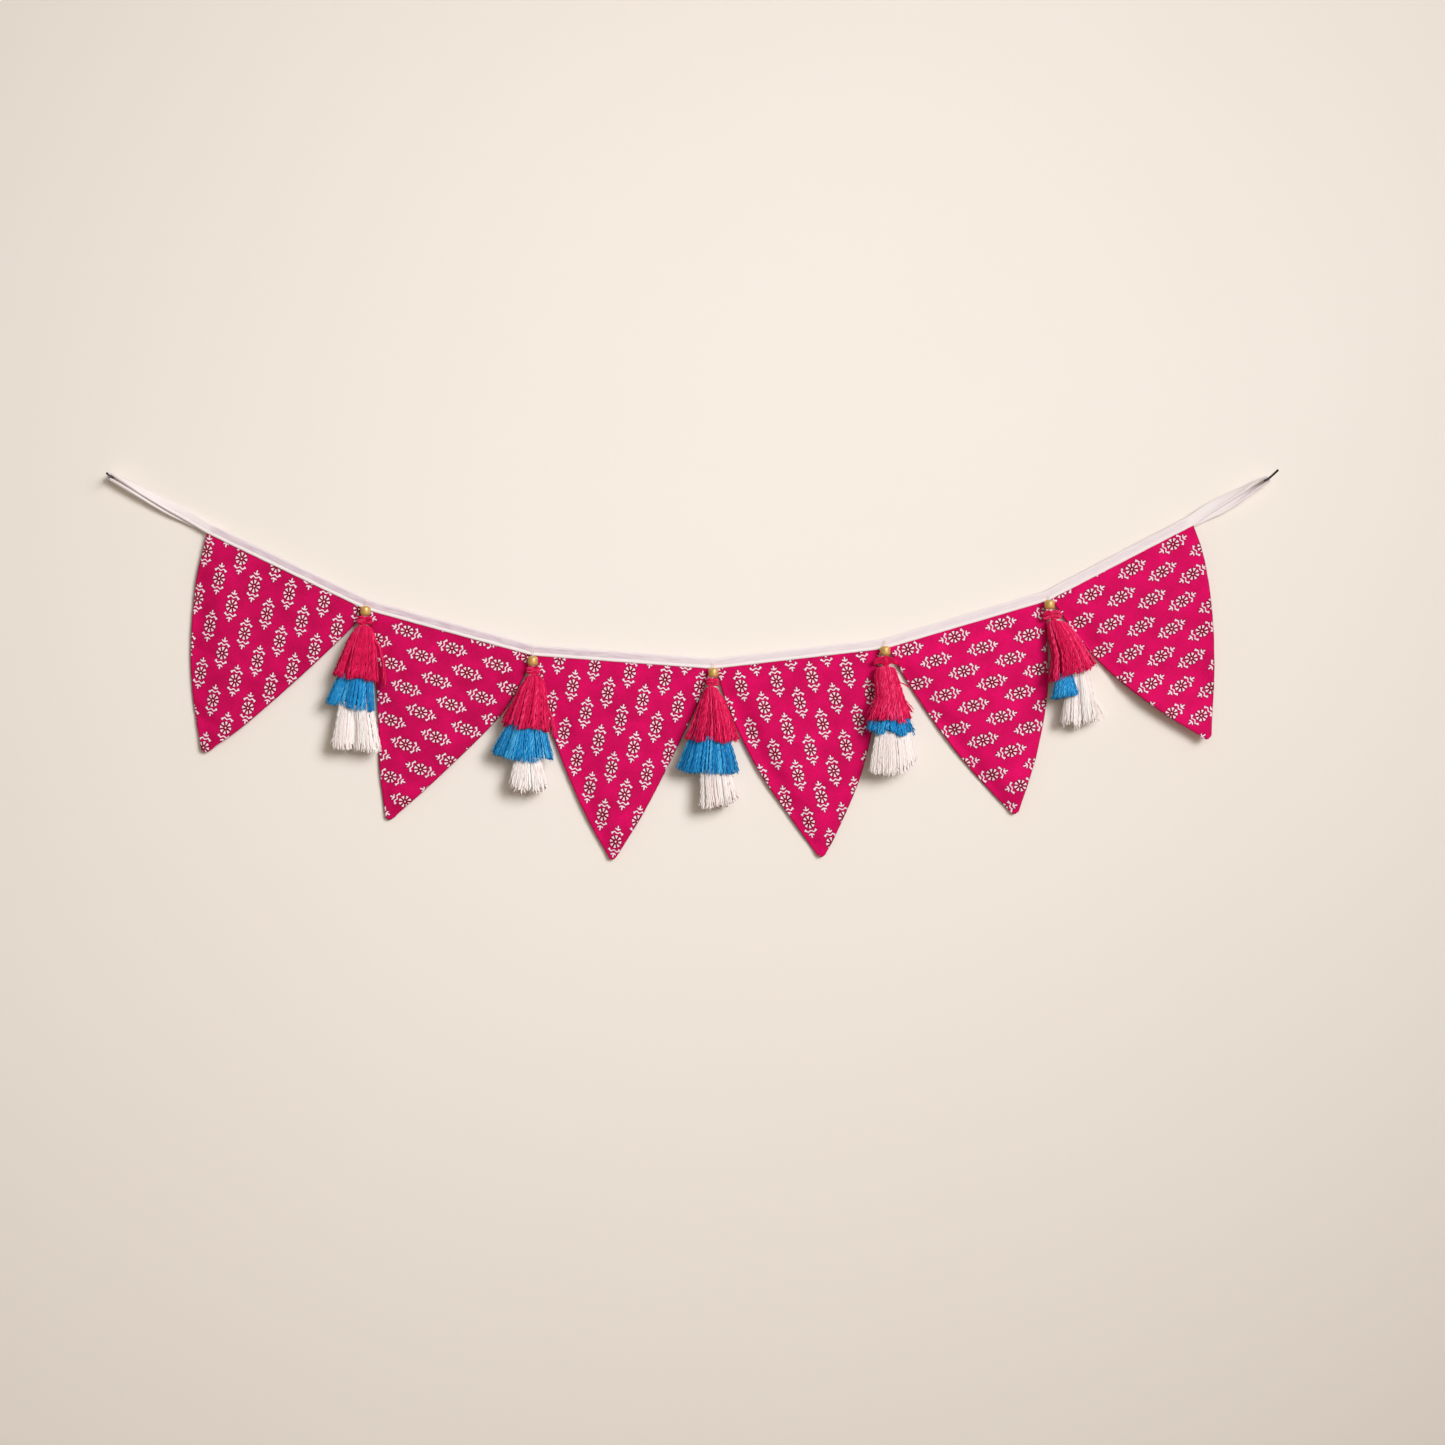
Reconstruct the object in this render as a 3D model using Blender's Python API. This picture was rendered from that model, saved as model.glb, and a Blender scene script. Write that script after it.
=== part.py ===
"""Fabric toran: a bunting of six block-printed cotton pennants in a folded white tape, with five
three-tier floss tassels under wooden beads, hung by the tape's end loops from two wall nails.

Units are metres, +Z is up, the wall is the plane y = 0 and the toran hangs in front of it, at y < 0.
The origin is on the wall, midway between the nails. Tables are in millimetres.
"""

import math
import random

import bmesh
import bpy
from mathutils import Vector

MM = 0.001

# Heading tape, folded in half lengthwise with its fold at the top
TAPE_WIDTH = 9.0 * MM
TAPE_NARROWER = -0.2 * MM
TAPE_WIDER = 0.35 * MM
TAPE_LAYER = 0.8 * MM
TAPE_Y = -6.0 * MM
SLOT_ON_PENNANTS = 2.0 * MM
SLOT_IN_LOOPS = 0.3 * MM
LOOP_STEPS_ROUND_NAIL = 7

# Pennants: two cloths thick, with their top edges inside the tape's fold
CLOTH = 1.4 * MM
TUCK = 7.0 * MM
TIP_BOW = 2.5 * MM
TIP_TOWARD_WALL = 1.8 * MM
FOLD_RAMP = 25.0 * MM
PENNANT_COLUMNS = 8
PENNANT_ROWS = 10

# Beads
BEAD_RADIUS = 4.5 * MM
BEAD_HALF_HEIGHT = 4.1 * MM
BEAD_BORE = 1.3 * MM
BEAD_Y = -12.7 * MM
BEAD_SIDES = 16
BEAD_PROFILE = [
    # share of the radius, share of the half height
    (0.70, 1.00),
    (0.94, 0.55),
    (1.00, 0.00),
    (0.94, -0.55),
    (0.70, -1.00),
]

# Tassels
THREAD_RADIUS = 0.9 * MM
THREAD_TOP_Y = -9.1 * MM
THREAD_RISE = 4.0 * MM
THREAD_BEND = 2.4 * MM
TIE_SPREAD = 3.0 * MM
NECK_DROP = 5.0 * MM
LOCKS = 16
LOCK_THICKNESS_AT_SIDES = 2.0 * MM
LOCK_THICKNESS_IN_FRONT = 1.6 * MM
LOCK_SHARE = 0.84
LOCK_LEAN = 0.05
LOCK_GAP_AT_ROOT = 0.3 * MM
FLARE = 0.75
HEM_JITTER = 1.1 * MM
SEAT_GAP = 0.3 * MM

# Nails
NAIL_RADIUS = 1.0 * MM
NAIL_SIDES = 12
NAIL_CHAMFER = 0.4 * MM
NAIL_STRAIGHT = 12.0 * MM
NAIL_BEND_STEPS = 5
NAIL_BEND_POWER = 1.6

# Lower edge of the tape at its two ends and at the five tassels, from left to right
JOINTS = [
    # x, z
    (-420.2, -47.4),
    (-281.0, -114.4),
    (-135.7, -154.2),
    (20.9, -165.7),
    (170.1, -148.3),
    (312.3, -106.4),
    (439.4, -40.5),
]
# The tape bends over this length on each side of a joint, mostly at the joint itself
JOINT_SOFTENING = 5.0 * MM
JOINT_STIFFNESS = 3

NAILS = {
    # where the nail meets the wall, and how far its outer end is bent
    "left": {"x": -502.0, "z": 1.3, "length": 28.0, "bend_x": 0.2, "bend_z": 1.4},
    "right": {"x": 502.0, "z": -1.3, "length": 32.0, "bend_x": 5.5, "bend_z": 6.4},
}

# Middle of the tape along its end loops, from the sewn end round the nail to the heading.
# Twist 0 faces the viewer, 90 lies flat on the nail and 180 faces the wall.
LOOPS = {
    "left": {
        "back": [
            # x, z, y, twist
            (-406.0, -49.6, -2.7, 180),
            (-417.0, -44.2, -2.7, 180),
            (-428.0, -38.9, -2.8, 178),
            (-437.6, -34.4, -3.0, 172),
            (-452.0, -27.6, -3.8, 160),
            (-464.5, -20.8, -4.8, 146),
            (-477.0, -13.9, -5.8, 130),
            (-489.5, -7.2, -6.4, 112),
        ],
        "front": [
            (-487.5, -3.8, -6.6, 66),
            (-476.0, -10.7, -6.5, 48),
            (-463.7, -17.6, -6.4, 33),
            (-452.5, -23.8, -6.2, 20),
            (-441.0, -29.9, -6.0, 8),
            (-430.5, -36.0, -6.0, 0),
        ],
    },
    "right": {
        "front": [
            (446.5, -30.0, -6.0, 4),
            (454.0, -25.3, -6.1, 14),
            (463.7, -19.5, -6.4, 30),
            (472.0, -14.8, -6.6, 44),
            (481.0, -9.9, -6.7, 60),
            (490.0, -4.6, -6.7, 75),
        ],
        "back": [
            (489.0, -10.6, -6.2, 118),
            (479.5, -16.6, -5.4, 142),
            (469.8, -22.4, -4.4, 158),
            (460.8, -27.4, -3.6, 168),
            (451.5, -31.4, -3.0, 176),
            (443.0, -35.3, -2.7, 180),
            (434.0, -39.4, -2.7, 180),
            (425.0, -43.6, -2.7, 180),
        ],
    },
}

# The two sides of each pennant, from the tape's lower edge down to the tip
PENNANTS = {
    "pennant_1": {
        "left": [(-419.5, -47.7), (-429.5, -92), (-434, -150), (-431.5, -195), (-424.5, -236.5)],
        "right": [(-284, -113), (-290, -126), (-328.9, -164), (-385.4, -213.6), (-415, -235)],
    },
    "pennant_2": {
        "left": [(-278, -115.2), (-273.2, -165), (-270.6, -214.5), (-269.5, -255), (-264.5, -295)],
        "right": [(-138.2, -153.5), (-141.5, -168), (-164.4, -206.6), (-217.5, -259.7), (-256, -294)],
    },
    "pennant_3": {
        "left": [(-133.2, -154.4), (-128, -190), (-112.2, -241.4), (-90, -293), (-69.5, -330.5)],
        "right": [(18.4, -165.5), (8, -195.3), (-16.5, -246.6), (-38.3, -288.8), (-62, -327.5)],
    },
    "pennant_4": {
        "left": [(23.4, -165.4), (35.2, -202.8), (60, -253.6), (89.6, -297.1), (110.5, -326.5)],
        "right": [(167.6, -148.6), (161.5, -205.8), (150, -257), (129.6, -306.2), (118.5, -327.5)],
    },
    "pennant_5": {
        "left": [(172.6, -147.6), (193.5, -182.4), (219.2, -220.5), (247.9, -256.2), (279, -289.5)],
        "right": [(309.8, -107.1), (312.3, -157.9), (311.1, -193.9), (301.9, -242.3), (287, -289.5)],
    },
    "pennant_6": {
        "left": [(314.8, -105.1), (340.8, -141.1), (370, -172.3), (408, -202), (446, -225.5)],
        "right": [(438.8, -40.8), (448.1, -69.2), (455.5, -118), (457, -177), (453.6, -223.5)],
    },
}

# Soft folds: from a point to a point, half width, and height toward the viewer
FOLDS = {
    # x_0, z_0, x_1, z_1, half width, height
    "pennant_1": [(-424, -110, -425, -215, 12, -1.6), (-402, -80, -410, -225, 16, 1.6)],
    "pennant_2": [(-262, -215, -262, -290, 9, -1.2), (-236, -180, -215, -250, 18, 1.3)],
    "pennant_3": [(-98, -219, -52, -236, 7, 1.1), (-50, -190, -66, -310, 20, 1.6)],
    "pennant_4": [(60, -200, 105, -300, 16, 1.5), (118, -190, 125, -300, 18, -1.0)],
    "pennant_5": [(181, -157, 226, -158, 6, 0.9), (255, -160, 280, -270, 20, 1.5)],
    "pennant_6": [(384, -184, 448, -226, 17, 8.0), (432, -110, 440, -190, 18, -1.2)],
}

# Tassels from left to right. Each tier hangs from its head and ends in a slanted hem.
# "part" is where the locks part, from 0 at the left to 1 at the right, and by how much.
TASSELS = {
    "tassel_1": {
        "bead": (-280.7, -115.4), "neck": (-282.3, -128.0), "knot_half_width": 6.4,
        "magenta": {"hem_left": (-308.2, -171.0), "hem_right": (-268.5, -177.9), "part": (0.5, 0.0)},
        "blue": {"head": (-286.8, -160.5), "hem_left": (-314.8, -195.3), "hem_right": (-272.3, -201.8),
                 "part": (0.3, 1.6)},
        "white": {"head": (-289.5, -190.0), "hem_left": (-309.7, -231.9), "hem_right": (-269.0, -236.2),
                  "part": (0.42, 2.6)},
    },
    "tassel_2": {
        "bead": (-135.5, -158.9), "neck": (-134.6, -171.2), "knot_half_width": 5.6,
        "magenta": {"hem_left": (-160.8, -215.3), "hem_right": (-121.0, -219.7), "part": (0.5, 0.0)},
        "blue": {"head": (-139.5, -202.0), "hem_left": (-171.8, -238.8), "hem_right": (-116.4, -244.5),
                 "part": (0.5, 0.0), "head_width": 6.0},
        "white": {"head": (-140.5, -232.0), "hem_left": (-155.5, -266.7), "hem_right": (-121.5, -270.1),
                  "part": (0.5, 0.0)},
    },
    "tassel_3": {
        "bead": (21.2, -169.0), "neck": (19.3, -181.4), "knot_half_width": 5.4,
        "magenta": {"hem_left": (-4.8, -226.6), "hem_right": (43.7, -228.4), "part": (0.5, 2.4)},
        "blue": {"head": (18.5, -213.0), "hem_left": (-10.3, -251.9), "hem_right": (43.2, -257.1),
                 "part": (0.5, 0.0)},
        "white": {"head": (21.5, -244.0), "hem_left": (7.5, -284.9), "hem_right": (41.5, -281.3),
                  "part": (0.5, 0.0)},
    },
    "tassel_4": {
        "bead": (170.2, -150.2), "neck": (171.0, -164.6), "knot_half_width": 10.4,
        "magenta": {"hem_left": (153.6, -210.8), "hem_right": (194.0, -208.5), "part": (0.5, 0.0)},
        "blue": {"head": (173.5, -196.0), "hem_left": (153.6, -223.4), "hem_right": (194.4, -222.7),
                 "part": (0.5, 0.0)},
        "white": {"head": (174.0, -214.5), "hem_left": (152.7, -256.2), "hem_right": (193.5, -252.7),
                  "part": (0.5, 0.0)},
    },
    "tassel_5": {
        "bead": (312.9, -110.0), "neck": (316.2, -123.6), "knot_half_width": 8.6,
        "magenta": {"hem_left": (311.5, -177.9), "hem_right": (352.0, -160.8), "part": (0.5, 0.0),
                    "hem_y": -19.0, "hem_depth": 10.3},
        "blue": {"head": (324.5, -162.5), "head_y": -20.6, "head_width": 4.5, "head_depth": 2.6,
                 "hem_left": (313.6, -192.3), "hem_right": (335.8, -187.9), "part": (0.5, 0.0),
                 "hem_y": -22.2, "hem_depth": 4.2, "tied_at": -1.3},
        "white": {"head": (336.0, -158.0), "head_y": -15.9, "head_width": 4.5, "head_depth": 2.4,
                  "hem_left": (322.8, -214.5), "hem_right": (357.6, -211.8), "part": (0.47, 2.2),
                  "hem_y": -13.0, "hem_depth": 5.8, "tied_under": "magenta", "tied_at": 1.3},
    },
}
# What a tier has where its row says nothing else
TIER_DEFAULTS = {
    "magenta": {
        "head_width": 5.4, "head_depth": 3.4, "hem_y": -18.3, "hem_depth": 9.6,
    },
    "blue": {
        "head_width": 9.5, "head_depth": 3.2, "head_y": -16.6, "hem_y": -17.4, "hem_depth": 8.6,
        "tied_under": "magenta", "tied_at": 0.0,
    },
    "white": {
        "head_width": 11.5, "head_depth": 2.9, "head_y": -16.4, "hem_y": -16.8, "hem_depth": 7.6,
        "tied_under": "blue", "tied_at": 0.0,
    },
}
KNOT_ROWS = [
    # share of the knot's height from its top, share of its half width, half depth
    (0.00, 0.34, 1.6),
    (0.18, 0.82, 3.2),
    (0.50, 1.00, 3.9),
    (0.80, 0.78, 3.2),
    (1.00, 0.34, 1.9),
]
LOCK_SECTIONS = {"magenta": (0.33, 0.68, 1.0), "blue": (0.5, 1.0), "white": (0.5, 1.0)}

COLOURS = {
    # linear red, green, blue, then roughness and metallic
    "tape": (0.80, 0.74, 0.79, 0.85, 0.0),
    "pennant": (0.62, 0.006, 0.10, 0.85, 0.0),
    "bead": (0.50, 0.32, 0.07, 0.35, 0.0),
    "magenta": (0.65, 0.02, 0.10, 0.9, 0.0),
    "blue": (0.02, 0.26, 0.60, 0.9, 0.0),
    "white": (0.86, 0.78, 0.76, 0.9, 0.0),
    "nail": (0.03, 0.03, 0.03, 0.4, 0.9),
}


def clear_scene():
    for obj in list(bpy.data.objects):
        bpy.data.objects.remove(obj, do_unlink=True)


def material(kind):
    """One Principled material of this kind, made on first use."""
    name = f"{kind}_finish"
    if name in bpy.data.materials:
        return bpy.data.materials[name]
    red, green, blue, roughness, metallic = COLOURS[kind]
    made = bpy.data.materials.new(name)
    made.use_nodes = True
    shader = made.node_tree.nodes["Principled BSDF"]
    shader.inputs["Base Color"].default_value = (red, green, blue, 1.0)
    shader.inputs["Roughness"].default_value = roughness
    shader.inputs["Metallic"].default_value = metallic
    return made


def make_object(name, bm, kind, smooth_below=None):
    """Turns a bmesh into a named object with this kind of material."""
    bmesh.ops.recalc_face_normals(bm, faces=bm.faces)
    mesh = bpy.data.meshes.new(name)
    bm.to_mesh(mesh)
    bm.free()
    mesh.materials.append(material(kind))
    if smooth_below is not None:
        mesh.shade_smooth()
        mesh.set_sharp_from_angle(angle=math.radians(smooth_below))
    obj = bpy.data.objects.new(name, mesh)
    bpy.context.scene.collection.objects.link(obj)
    return obj


def skin(bm, rings, close_ends=True):
    """Quads between rings of as many points each. Returns the vertices, ring by ring."""
    loops = [[bm.verts.new(point) for point in ring] for ring in rings]
    for upper, lower in zip(loops, loops[1:]):
        count = len(upper)
        for i in range(count):
            after = (i + 1) % count
            bm.faces.new((upper[i], upper[after], lower[after], lower[i]))
    if close_ends:
        bm.faces.new(loops[0])
        bm.faces.new(loops[-1])
    return loops


def ellipse(x, y, z, half_width, half_depth, sides):
    """A level ring of points round (x, y, z)."""
    turn = 2 * math.pi / sides
    return [
        Vector((x + half_width * math.cos(i * turn), y + half_depth * math.sin(i * turn), z))
        for i in range(sides)
    ]


def smooth_side(points, share):
    """The point at this share of the way along a smooth curve through a pennant's side points."""
    spots = [Vector(p) for p in points]
    spans = [(b - a).length for a, b in zip(spots, spots[1:])]
    along = share * sum(spans)
    index = 0
    while index < len(spans) - 1 and along > spans[index]:
        along -= spans[index]
        index += 1
    t = along / spans[index]
    start, end = spots[index], spots[index + 1]
    before = spots[index - 1] if index else start * 2 - end
    after = spots[index + 2] if index + 2 < len(spots) else end * 2 - start
    enter = (end - before) / 2
    leave = (after - start) / 2
    return (
        start * (2 * t**3 - 3 * t**2 + 1)
        + enter * (t**3 - 2 * t**2 + t)
        + end * (3 * t**2 - 2 * t**3)
        + leave * (t**3 - t**2)
    )


# Heading tape

def tape_section(centre, width_way, normal, width, slot):
    """The folded tape's cross-section: two layers joined by the fold, parted by the slot."""
    half = slot / 2 + TAPE_LAYER
    low, high = -width / 2, width / 2
    outline = [
        (low, half), (high - TAPE_LAYER, half), (high, half / 2), (high, -half / 2),
        (high - TAPE_LAYER, -half), (low, -half), (low, -slot / 2),
        (high - TAPE_LAYER, -slot / 2), (high - TAPE_LAYER, slot / 2), (low, slot / 2),
    ]
    return [centre + width_way * along + normal * out for along, out in outline]


def turned_frame(tangent, twist):
    """The tape's width direction and outer normal where it runs along tangent at this twist."""
    outward = Vector((-tangent.z, 0, tangent.x))
    angle = math.radians(twist)
    normal = Vector((0, -1, 0)) * math.cos(angle) + outward * math.sin(angle)
    return normal.cross(tangent).normalized(), normal


def loop_stations(side):
    """(point, twist) along an end loop, from the left: from the sewn end, or from the heading."""
    limbs = {
        part: [(Vector((x * MM, y * MM, z * MM)), twist) for x, z, y, twist in LOOPS[side][part]]
        for part in ("front", "back")
    }
    order = ("back", "front") if side == "left" else ("front", "back")
    arriving, leaving = limbs[order[0]], limbs[order[1]]
    entry, exit_point = arriving[-1][0], leaving[0][0]
    nail = NAILS[side]
    axis = Vector((nail["x"] * MM, 0, nail["z"] * MM))
    radius = NAIL_RADIUS + SEAT_GAP + TAPE_LAYER + SLOT_IN_LOOPS / 2
    start = departure_angle(axis, entry, radius, side == "left")
    end = departure_angle(axis, exit_point, radius, side != "left")
    if end > start:
        end -= 2 * math.pi
    arc = []
    for step in range(LOOP_STEPS_ROUND_NAIL):
        share = step / (LOOP_STEPS_ROUND_NAIL - 1)
        angle = start + (end - start) * share
        y = entry.y + (exit_point.y - entry.y) * share
        spot = Vector((axis.x + radius * math.cos(angle), y, axis.z + radius * math.sin(angle)))
        arc.append((spot, 90))
    return arriving + arc + leaving


def departure_angle(axis, point, radius, below):
    """The angle round the nail where a straight run from point touches the circle of this radius."""
    away = Vector((point.x - axis.x, point.z - axis.z))
    toward = math.atan2(away.y, away.x)
    swing = math.acos(min(1.0, radius / away.length))
    left_of_nail = away.x < 0
    turn = swing if (below == left_of_nail) else -swing
    return toward + turn


def heading_stations():
    """(point, width direction, normal, width) along the heading, softened at each joint."""
    spots = [Vector((x * MM, 0, z * MM)) for x, z in JOINTS]
    chance = random.Random(11)
    made = []

    def add(point, tangent, width=TAPE_WIDTH):
        width_way, normal = turned_frame(tangent.normalized(), 0)
        centre = Vector((point.x, TAPE_Y, point.z)) + width_way * width / 2
        made.append((centre, width_way, normal, width))

    for index, (start, end) in enumerate(zip(spots, spots[1:])):
        tangent = (end - start).normalized()
        before = tangent if index == 0 else (start - spots[index - 1]).normalized()
        after = tangent if index == len(spots) - 2 else (spots[index + 2] - end).normalized()
        add(start, before + tangent)
        add(start + tangent * JOINT_SOFTENING, tangent * JOINT_STIFFNESS + before)
        for share in (0.25, 0.5, 0.75):
            uneven = chance.uniform(TAPE_NARROWER, TAPE_WIDER)
            add(start.lerp(end, share), tangent, TAPE_WIDTH + uneven)
        add(end - tangent * JOINT_SOFTENING, tangent * JOINT_STIFFNESS + after)
    add(spots[-1], spots[-1] - spots[-2])
    return made


def loop_rings(stations):
    """The tape's cross-sections along an end loop."""
    points = [point for point, twist in stations]
    rings = []
    for index, (point, twist) in enumerate(stations):
        before = points[max(index - 1, 0)]
        after = points[min(index + 1, len(points) - 1)]
        run = after - before
        tangent = Vector((run.x, 0, run.z)).normalized()
        width_way, normal = turned_frame(tangent, twist)
        rings.append(tape_section(point, width_way, normal, TAPE_WIDTH, SLOT_IN_LOOPS))
    return rings


def heading_tape():
    """The whole tape: left loop, heading and right loop in one strip."""
    rings = loop_rings(loop_stations("left"))
    for centre, width_way, normal, width in heading_stations():
        rings.append(tape_section(centre, width_way, normal, width, SLOT_ON_PENNANTS))
    rings += loop_rings(loop_stations("right"))
    bm = bmesh.new()
    skin(bm, rings)
    return make_object("heading_tape", bm, "tape", smooth_below=40)


# Pennants

def fold_height(name, x, z):
    """How far the cloth stands toward the viewer at (x, z) by its folds, in metres."""
    total = 0.0
    for x_0, z_0, x_1, z_1, half_width, height in FOLDS[name]:
        start, run = Vector((x_0, z_0)) * MM, Vector((x_1 - x_0, z_1 - z_0)) * MM
        here = Vector((x, z))
        share = min(max((here - start).dot(run) / run.length_squared, 0.0), 1.0)
        away = (here - start - run * share).length / (half_width * MM)
        total += height * MM * math.exp(-away * away)
    return total


def pennant(name, index):
    """One pennant: a grid between its two sides, with folds, thickened to two cloths."""
    sides = PENNANTS[name]
    start, end = (Vector(JOINTS[index + k]) * MM for k in (0, 1))
    tape_run = (end - start).normalized()
    up_tape = Vector((-tape_run.y, tape_run.x))
    top_left = Vector(sides["left"][0]) * MM
    bm = bmesh.new()
    grid = []
    for row in range(-1, PENNANT_ROWS + 1):
        share = max(row, 0) / PENNANT_ROWS
        left = smooth_side(sides["left"], share) * MM
        right = smooth_side(sides["right"], share) * MM
        line = []
        for column in range(PENNANT_COLUMNS + 1):
            across = column / PENNANT_COLUMNS
            spot = left.lerp(right, across)
            spot.y -= TIP_BOW * share**5 * math.sin(math.pi * across)
            if row < 0:
                spot = spot + up_tape * TUCK
            depth = max((top_left - spot).dot(up_tape), 0.0)
            eased = min(depth / FOLD_RAMP, 1.0)
            y = TAPE_Y + TIP_TOWARD_WALL * share * eased - fold_height(name, spot.x, spot.y) * eased
            line.append(bm.verts.new((spot.x, y, spot.y)))
        grid.append(line)
    for upper, lower in zip(grid, grid[1:]):
        for i in range(PENNANT_COLUMNS):
            bm.faces.new((upper[i], lower[i], lower[i + 1], upper[i + 1]))
    obj = make_object(name, bm, "pennant", smooth_below=50)
    thicken = obj.modifiers.new("two_cloths", "SOLIDIFY")
    thicken.thickness = CLOTH
    thicken.offset = 0.0
    thicken.use_even_offset = True
    return obj


# Beads

def bead(name, x, z):
    """A barrel with a bore down its middle, turned from its profile."""
    profile = [(BEAD_BORE, BEAD_HALF_HEIGHT)]
    profile += [(BEAD_RADIUS * wide, BEAD_HALF_HEIGHT * high) for wide, high in BEAD_PROFILE]
    profile += [(BEAD_BORE, -BEAD_HALF_HEIGHT)]
    bm = bmesh.new()
    corners = [bm.verts.new((radius, 0, height)) for radius, height in profile]
    for index, corner in enumerate(corners):
        bm.edges.new((corner, corners[(index + 1) % len(corners)]))
    obj = make_object(name, bm, "bead")
    obj.location = (x * MM, BEAD_Y, z * MM)
    turn = obj.modifiers.new("turned", "SCREW")
    turn.axis = "Z"
    turn.steps = turn.render_steps = BEAD_SIDES
    turn.use_merge_vertices = True
    turn.merge_threshold = 0.00001
    turn.use_smooth_shade = True
    return obj


# Tassels

def tier_numbers(tassel, colour):
    """The tier's sizes in metres, its own or the usual ones."""
    row = dict(TIER_DEFAULTS[colour])
    row.update(TASSELS[tassel][colour])
    if colour == "magenta":
        neck_x, neck_z = TASSELS[tassel]["neck"]
        row["head"] = (neck_x, neck_z - NECK_DROP / MM)
        row["head_y"] = BEAD_Y / MM
    for key, value in row.items():
        if isinstance(value, float):
            row[key] = value * MM
    for key in ("head", "hem_left", "hem_right"):
        row[key] = Vector(row[key]) * MM
    return row


def parted(share, part):
    """Moves a lock's place across the hem away from where the locks part."""
    at, gap = part
    if share < at:
        return share * (at - gap / 2) / at
    return at + gap / 2 + (share - at) * (1 - at - gap / 2) / (1 - at)


def lock_corner(size, across, wall, along, drop):
    """One corner of a lock: its angle round the skirt, outer or inner wall, and share of its length."""
    eased = along**FLARE
    hem_middle = (size["hem_left"] + size["hem_right"]) / 2
    hem_half = (size["hem_right"].x - size["hem_left"].x) / 2
    half_width = size["head_width"] + (hem_half - size["head_width"]) * eased
    half_depth = size["head_depth"] + (size["hem_depth"] - size["head_depth"]) * eased
    if wall == "inner":
        half_width -= LOCK_THICKNESS_AT_SIDES
        half_depth -= LOCK_THICKNESS_IN_FRONT
    share = (math.cos(across) + 1) / 2
    gap = size["part"][1] * MM / (2 * hem_half)
    share = share + (parted(share, (size["part"][0], gap)) - share) * along
    hem_z = size["hem_left"].y + (size["hem_right"].y - size["hem_left"].y) * share - drop
    x = size["head"].x + (hem_middle.x - size["head"].x) * along + half_width * (2 * share - 1)
    y = size["head_y"] + (size["hem_y"] - size["head_y"]) * eased + half_depth * math.sin(across)
    z = size["head"].y + (hem_z - size["head"].y) * along
    return Vector((x, y, z))


def grow_locks(bm, outer, inner, size, sections, chance):
    """Grows one lock from each face of the band between the head's outer and inner rings."""
    turn = 2 * math.pi / LOCKS
    band = []
    for i in range(LOCKS):
        after = (i + 1) % LOCKS
        band.append(bm.faces.new((outer[i], outer[after], inner[after], inner[i])))
    middles = {face: (i + 0.5) * turn for i, face in enumerate(band)}
    bmesh.ops.inset_individual(bm, faces=band, thickness=LOCK_GAP_AT_ROOT / 2, use_even_offset=True)
    for face, middle in middles.items():
        drop = chance.uniform(-HEM_JITTER, HEM_JITTER)
        lean = chance.uniform(-LOCK_LEAN, LOCK_LEAN) * turn
        corners = []
        for vert in face.verts:
            out_x = (vert.co.x - size["head"].x) / size["head_width"]
            out_y = (vert.co.y - size["head_y"]) / size["head_depth"]
            side = 1 if math.sin(math.atan2(out_y, out_x) - middle) > 0 else -1
            corners.append((side, math.hypot(out_x, out_y)))
        mean_reach = sum(reach for side, reach in corners) / 4
        loop = list(face.verts)
        bm.faces.remove(face)
        for along in sections:
            ring = []
            for side, reach in corners:
                across = middle + lean * along + side * turn * LOCK_SHARE / 2
                wall = "outer" if reach > mean_reach else "inner"
                ring.append(bm.verts.new(lock_corner(size, across, wall, along, drop)))
            for i in range(4):
                after = (i + 1) % 4
                bm.faces.new((loop[i], loop[after], ring[after], ring[i]))
            loop = ring
        bm.faces.new(loop)


def thread_ring(x, y, z):
    return ellipse(x, y, z, THREAD_RADIUS, THREAD_RADIUS, LOCKS)


def knot_rings(tassel):
    """The rings of the thread through the bead and of the knot under it, down to the neck."""
    row = TASSELS[tassel]
    bead_x, bead_z = (value * MM for value in row["bead"])
    neck_x, neck_z = (value * MM for value in row["neck"])
    bead_top = bead_z + BEAD_HALF_HEIGHT
    knot_top = bead_z - BEAD_HALF_HEIGHT - SEAT_GAP
    rings = [
        thread_ring(bead_x, THREAD_TOP_Y, bead_top + THREAD_RISE),
        thread_ring(bead_x, THREAD_TOP_Y, bead_top + THREAD_BEND),
        thread_ring(bead_x, BEAD_Y, bead_top),
        thread_ring(bead_x, BEAD_Y, knot_top + SEAT_GAP / 2),
    ]
    half = row["knot_half_width"] * MM
    for share, wide, deep in KNOT_ROWS:
        x = bead_x + (neck_x - bead_x) * share
        z = knot_top + (neck_z - knot_top) * share
        rings.append(ellipse(x, BEAD_Y, z, half * wide, deep * MM, LOCKS))
    return rings


def tie_rings(tassel, size):
    """The rings of the tie from under the head of the tier above down to this tier's head."""
    above = tier_numbers(tassel, size["tied_under"])
    top_x = above["head"].x + size["tied_at"]
    return [
        thread_ring(top_x, above["head_y"], above["head"].y - SEAT_GAP),
        thread_ring(size["head"].x, size["head_y"], size["head"].y + TIE_SPREAD),
    ]


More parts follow.
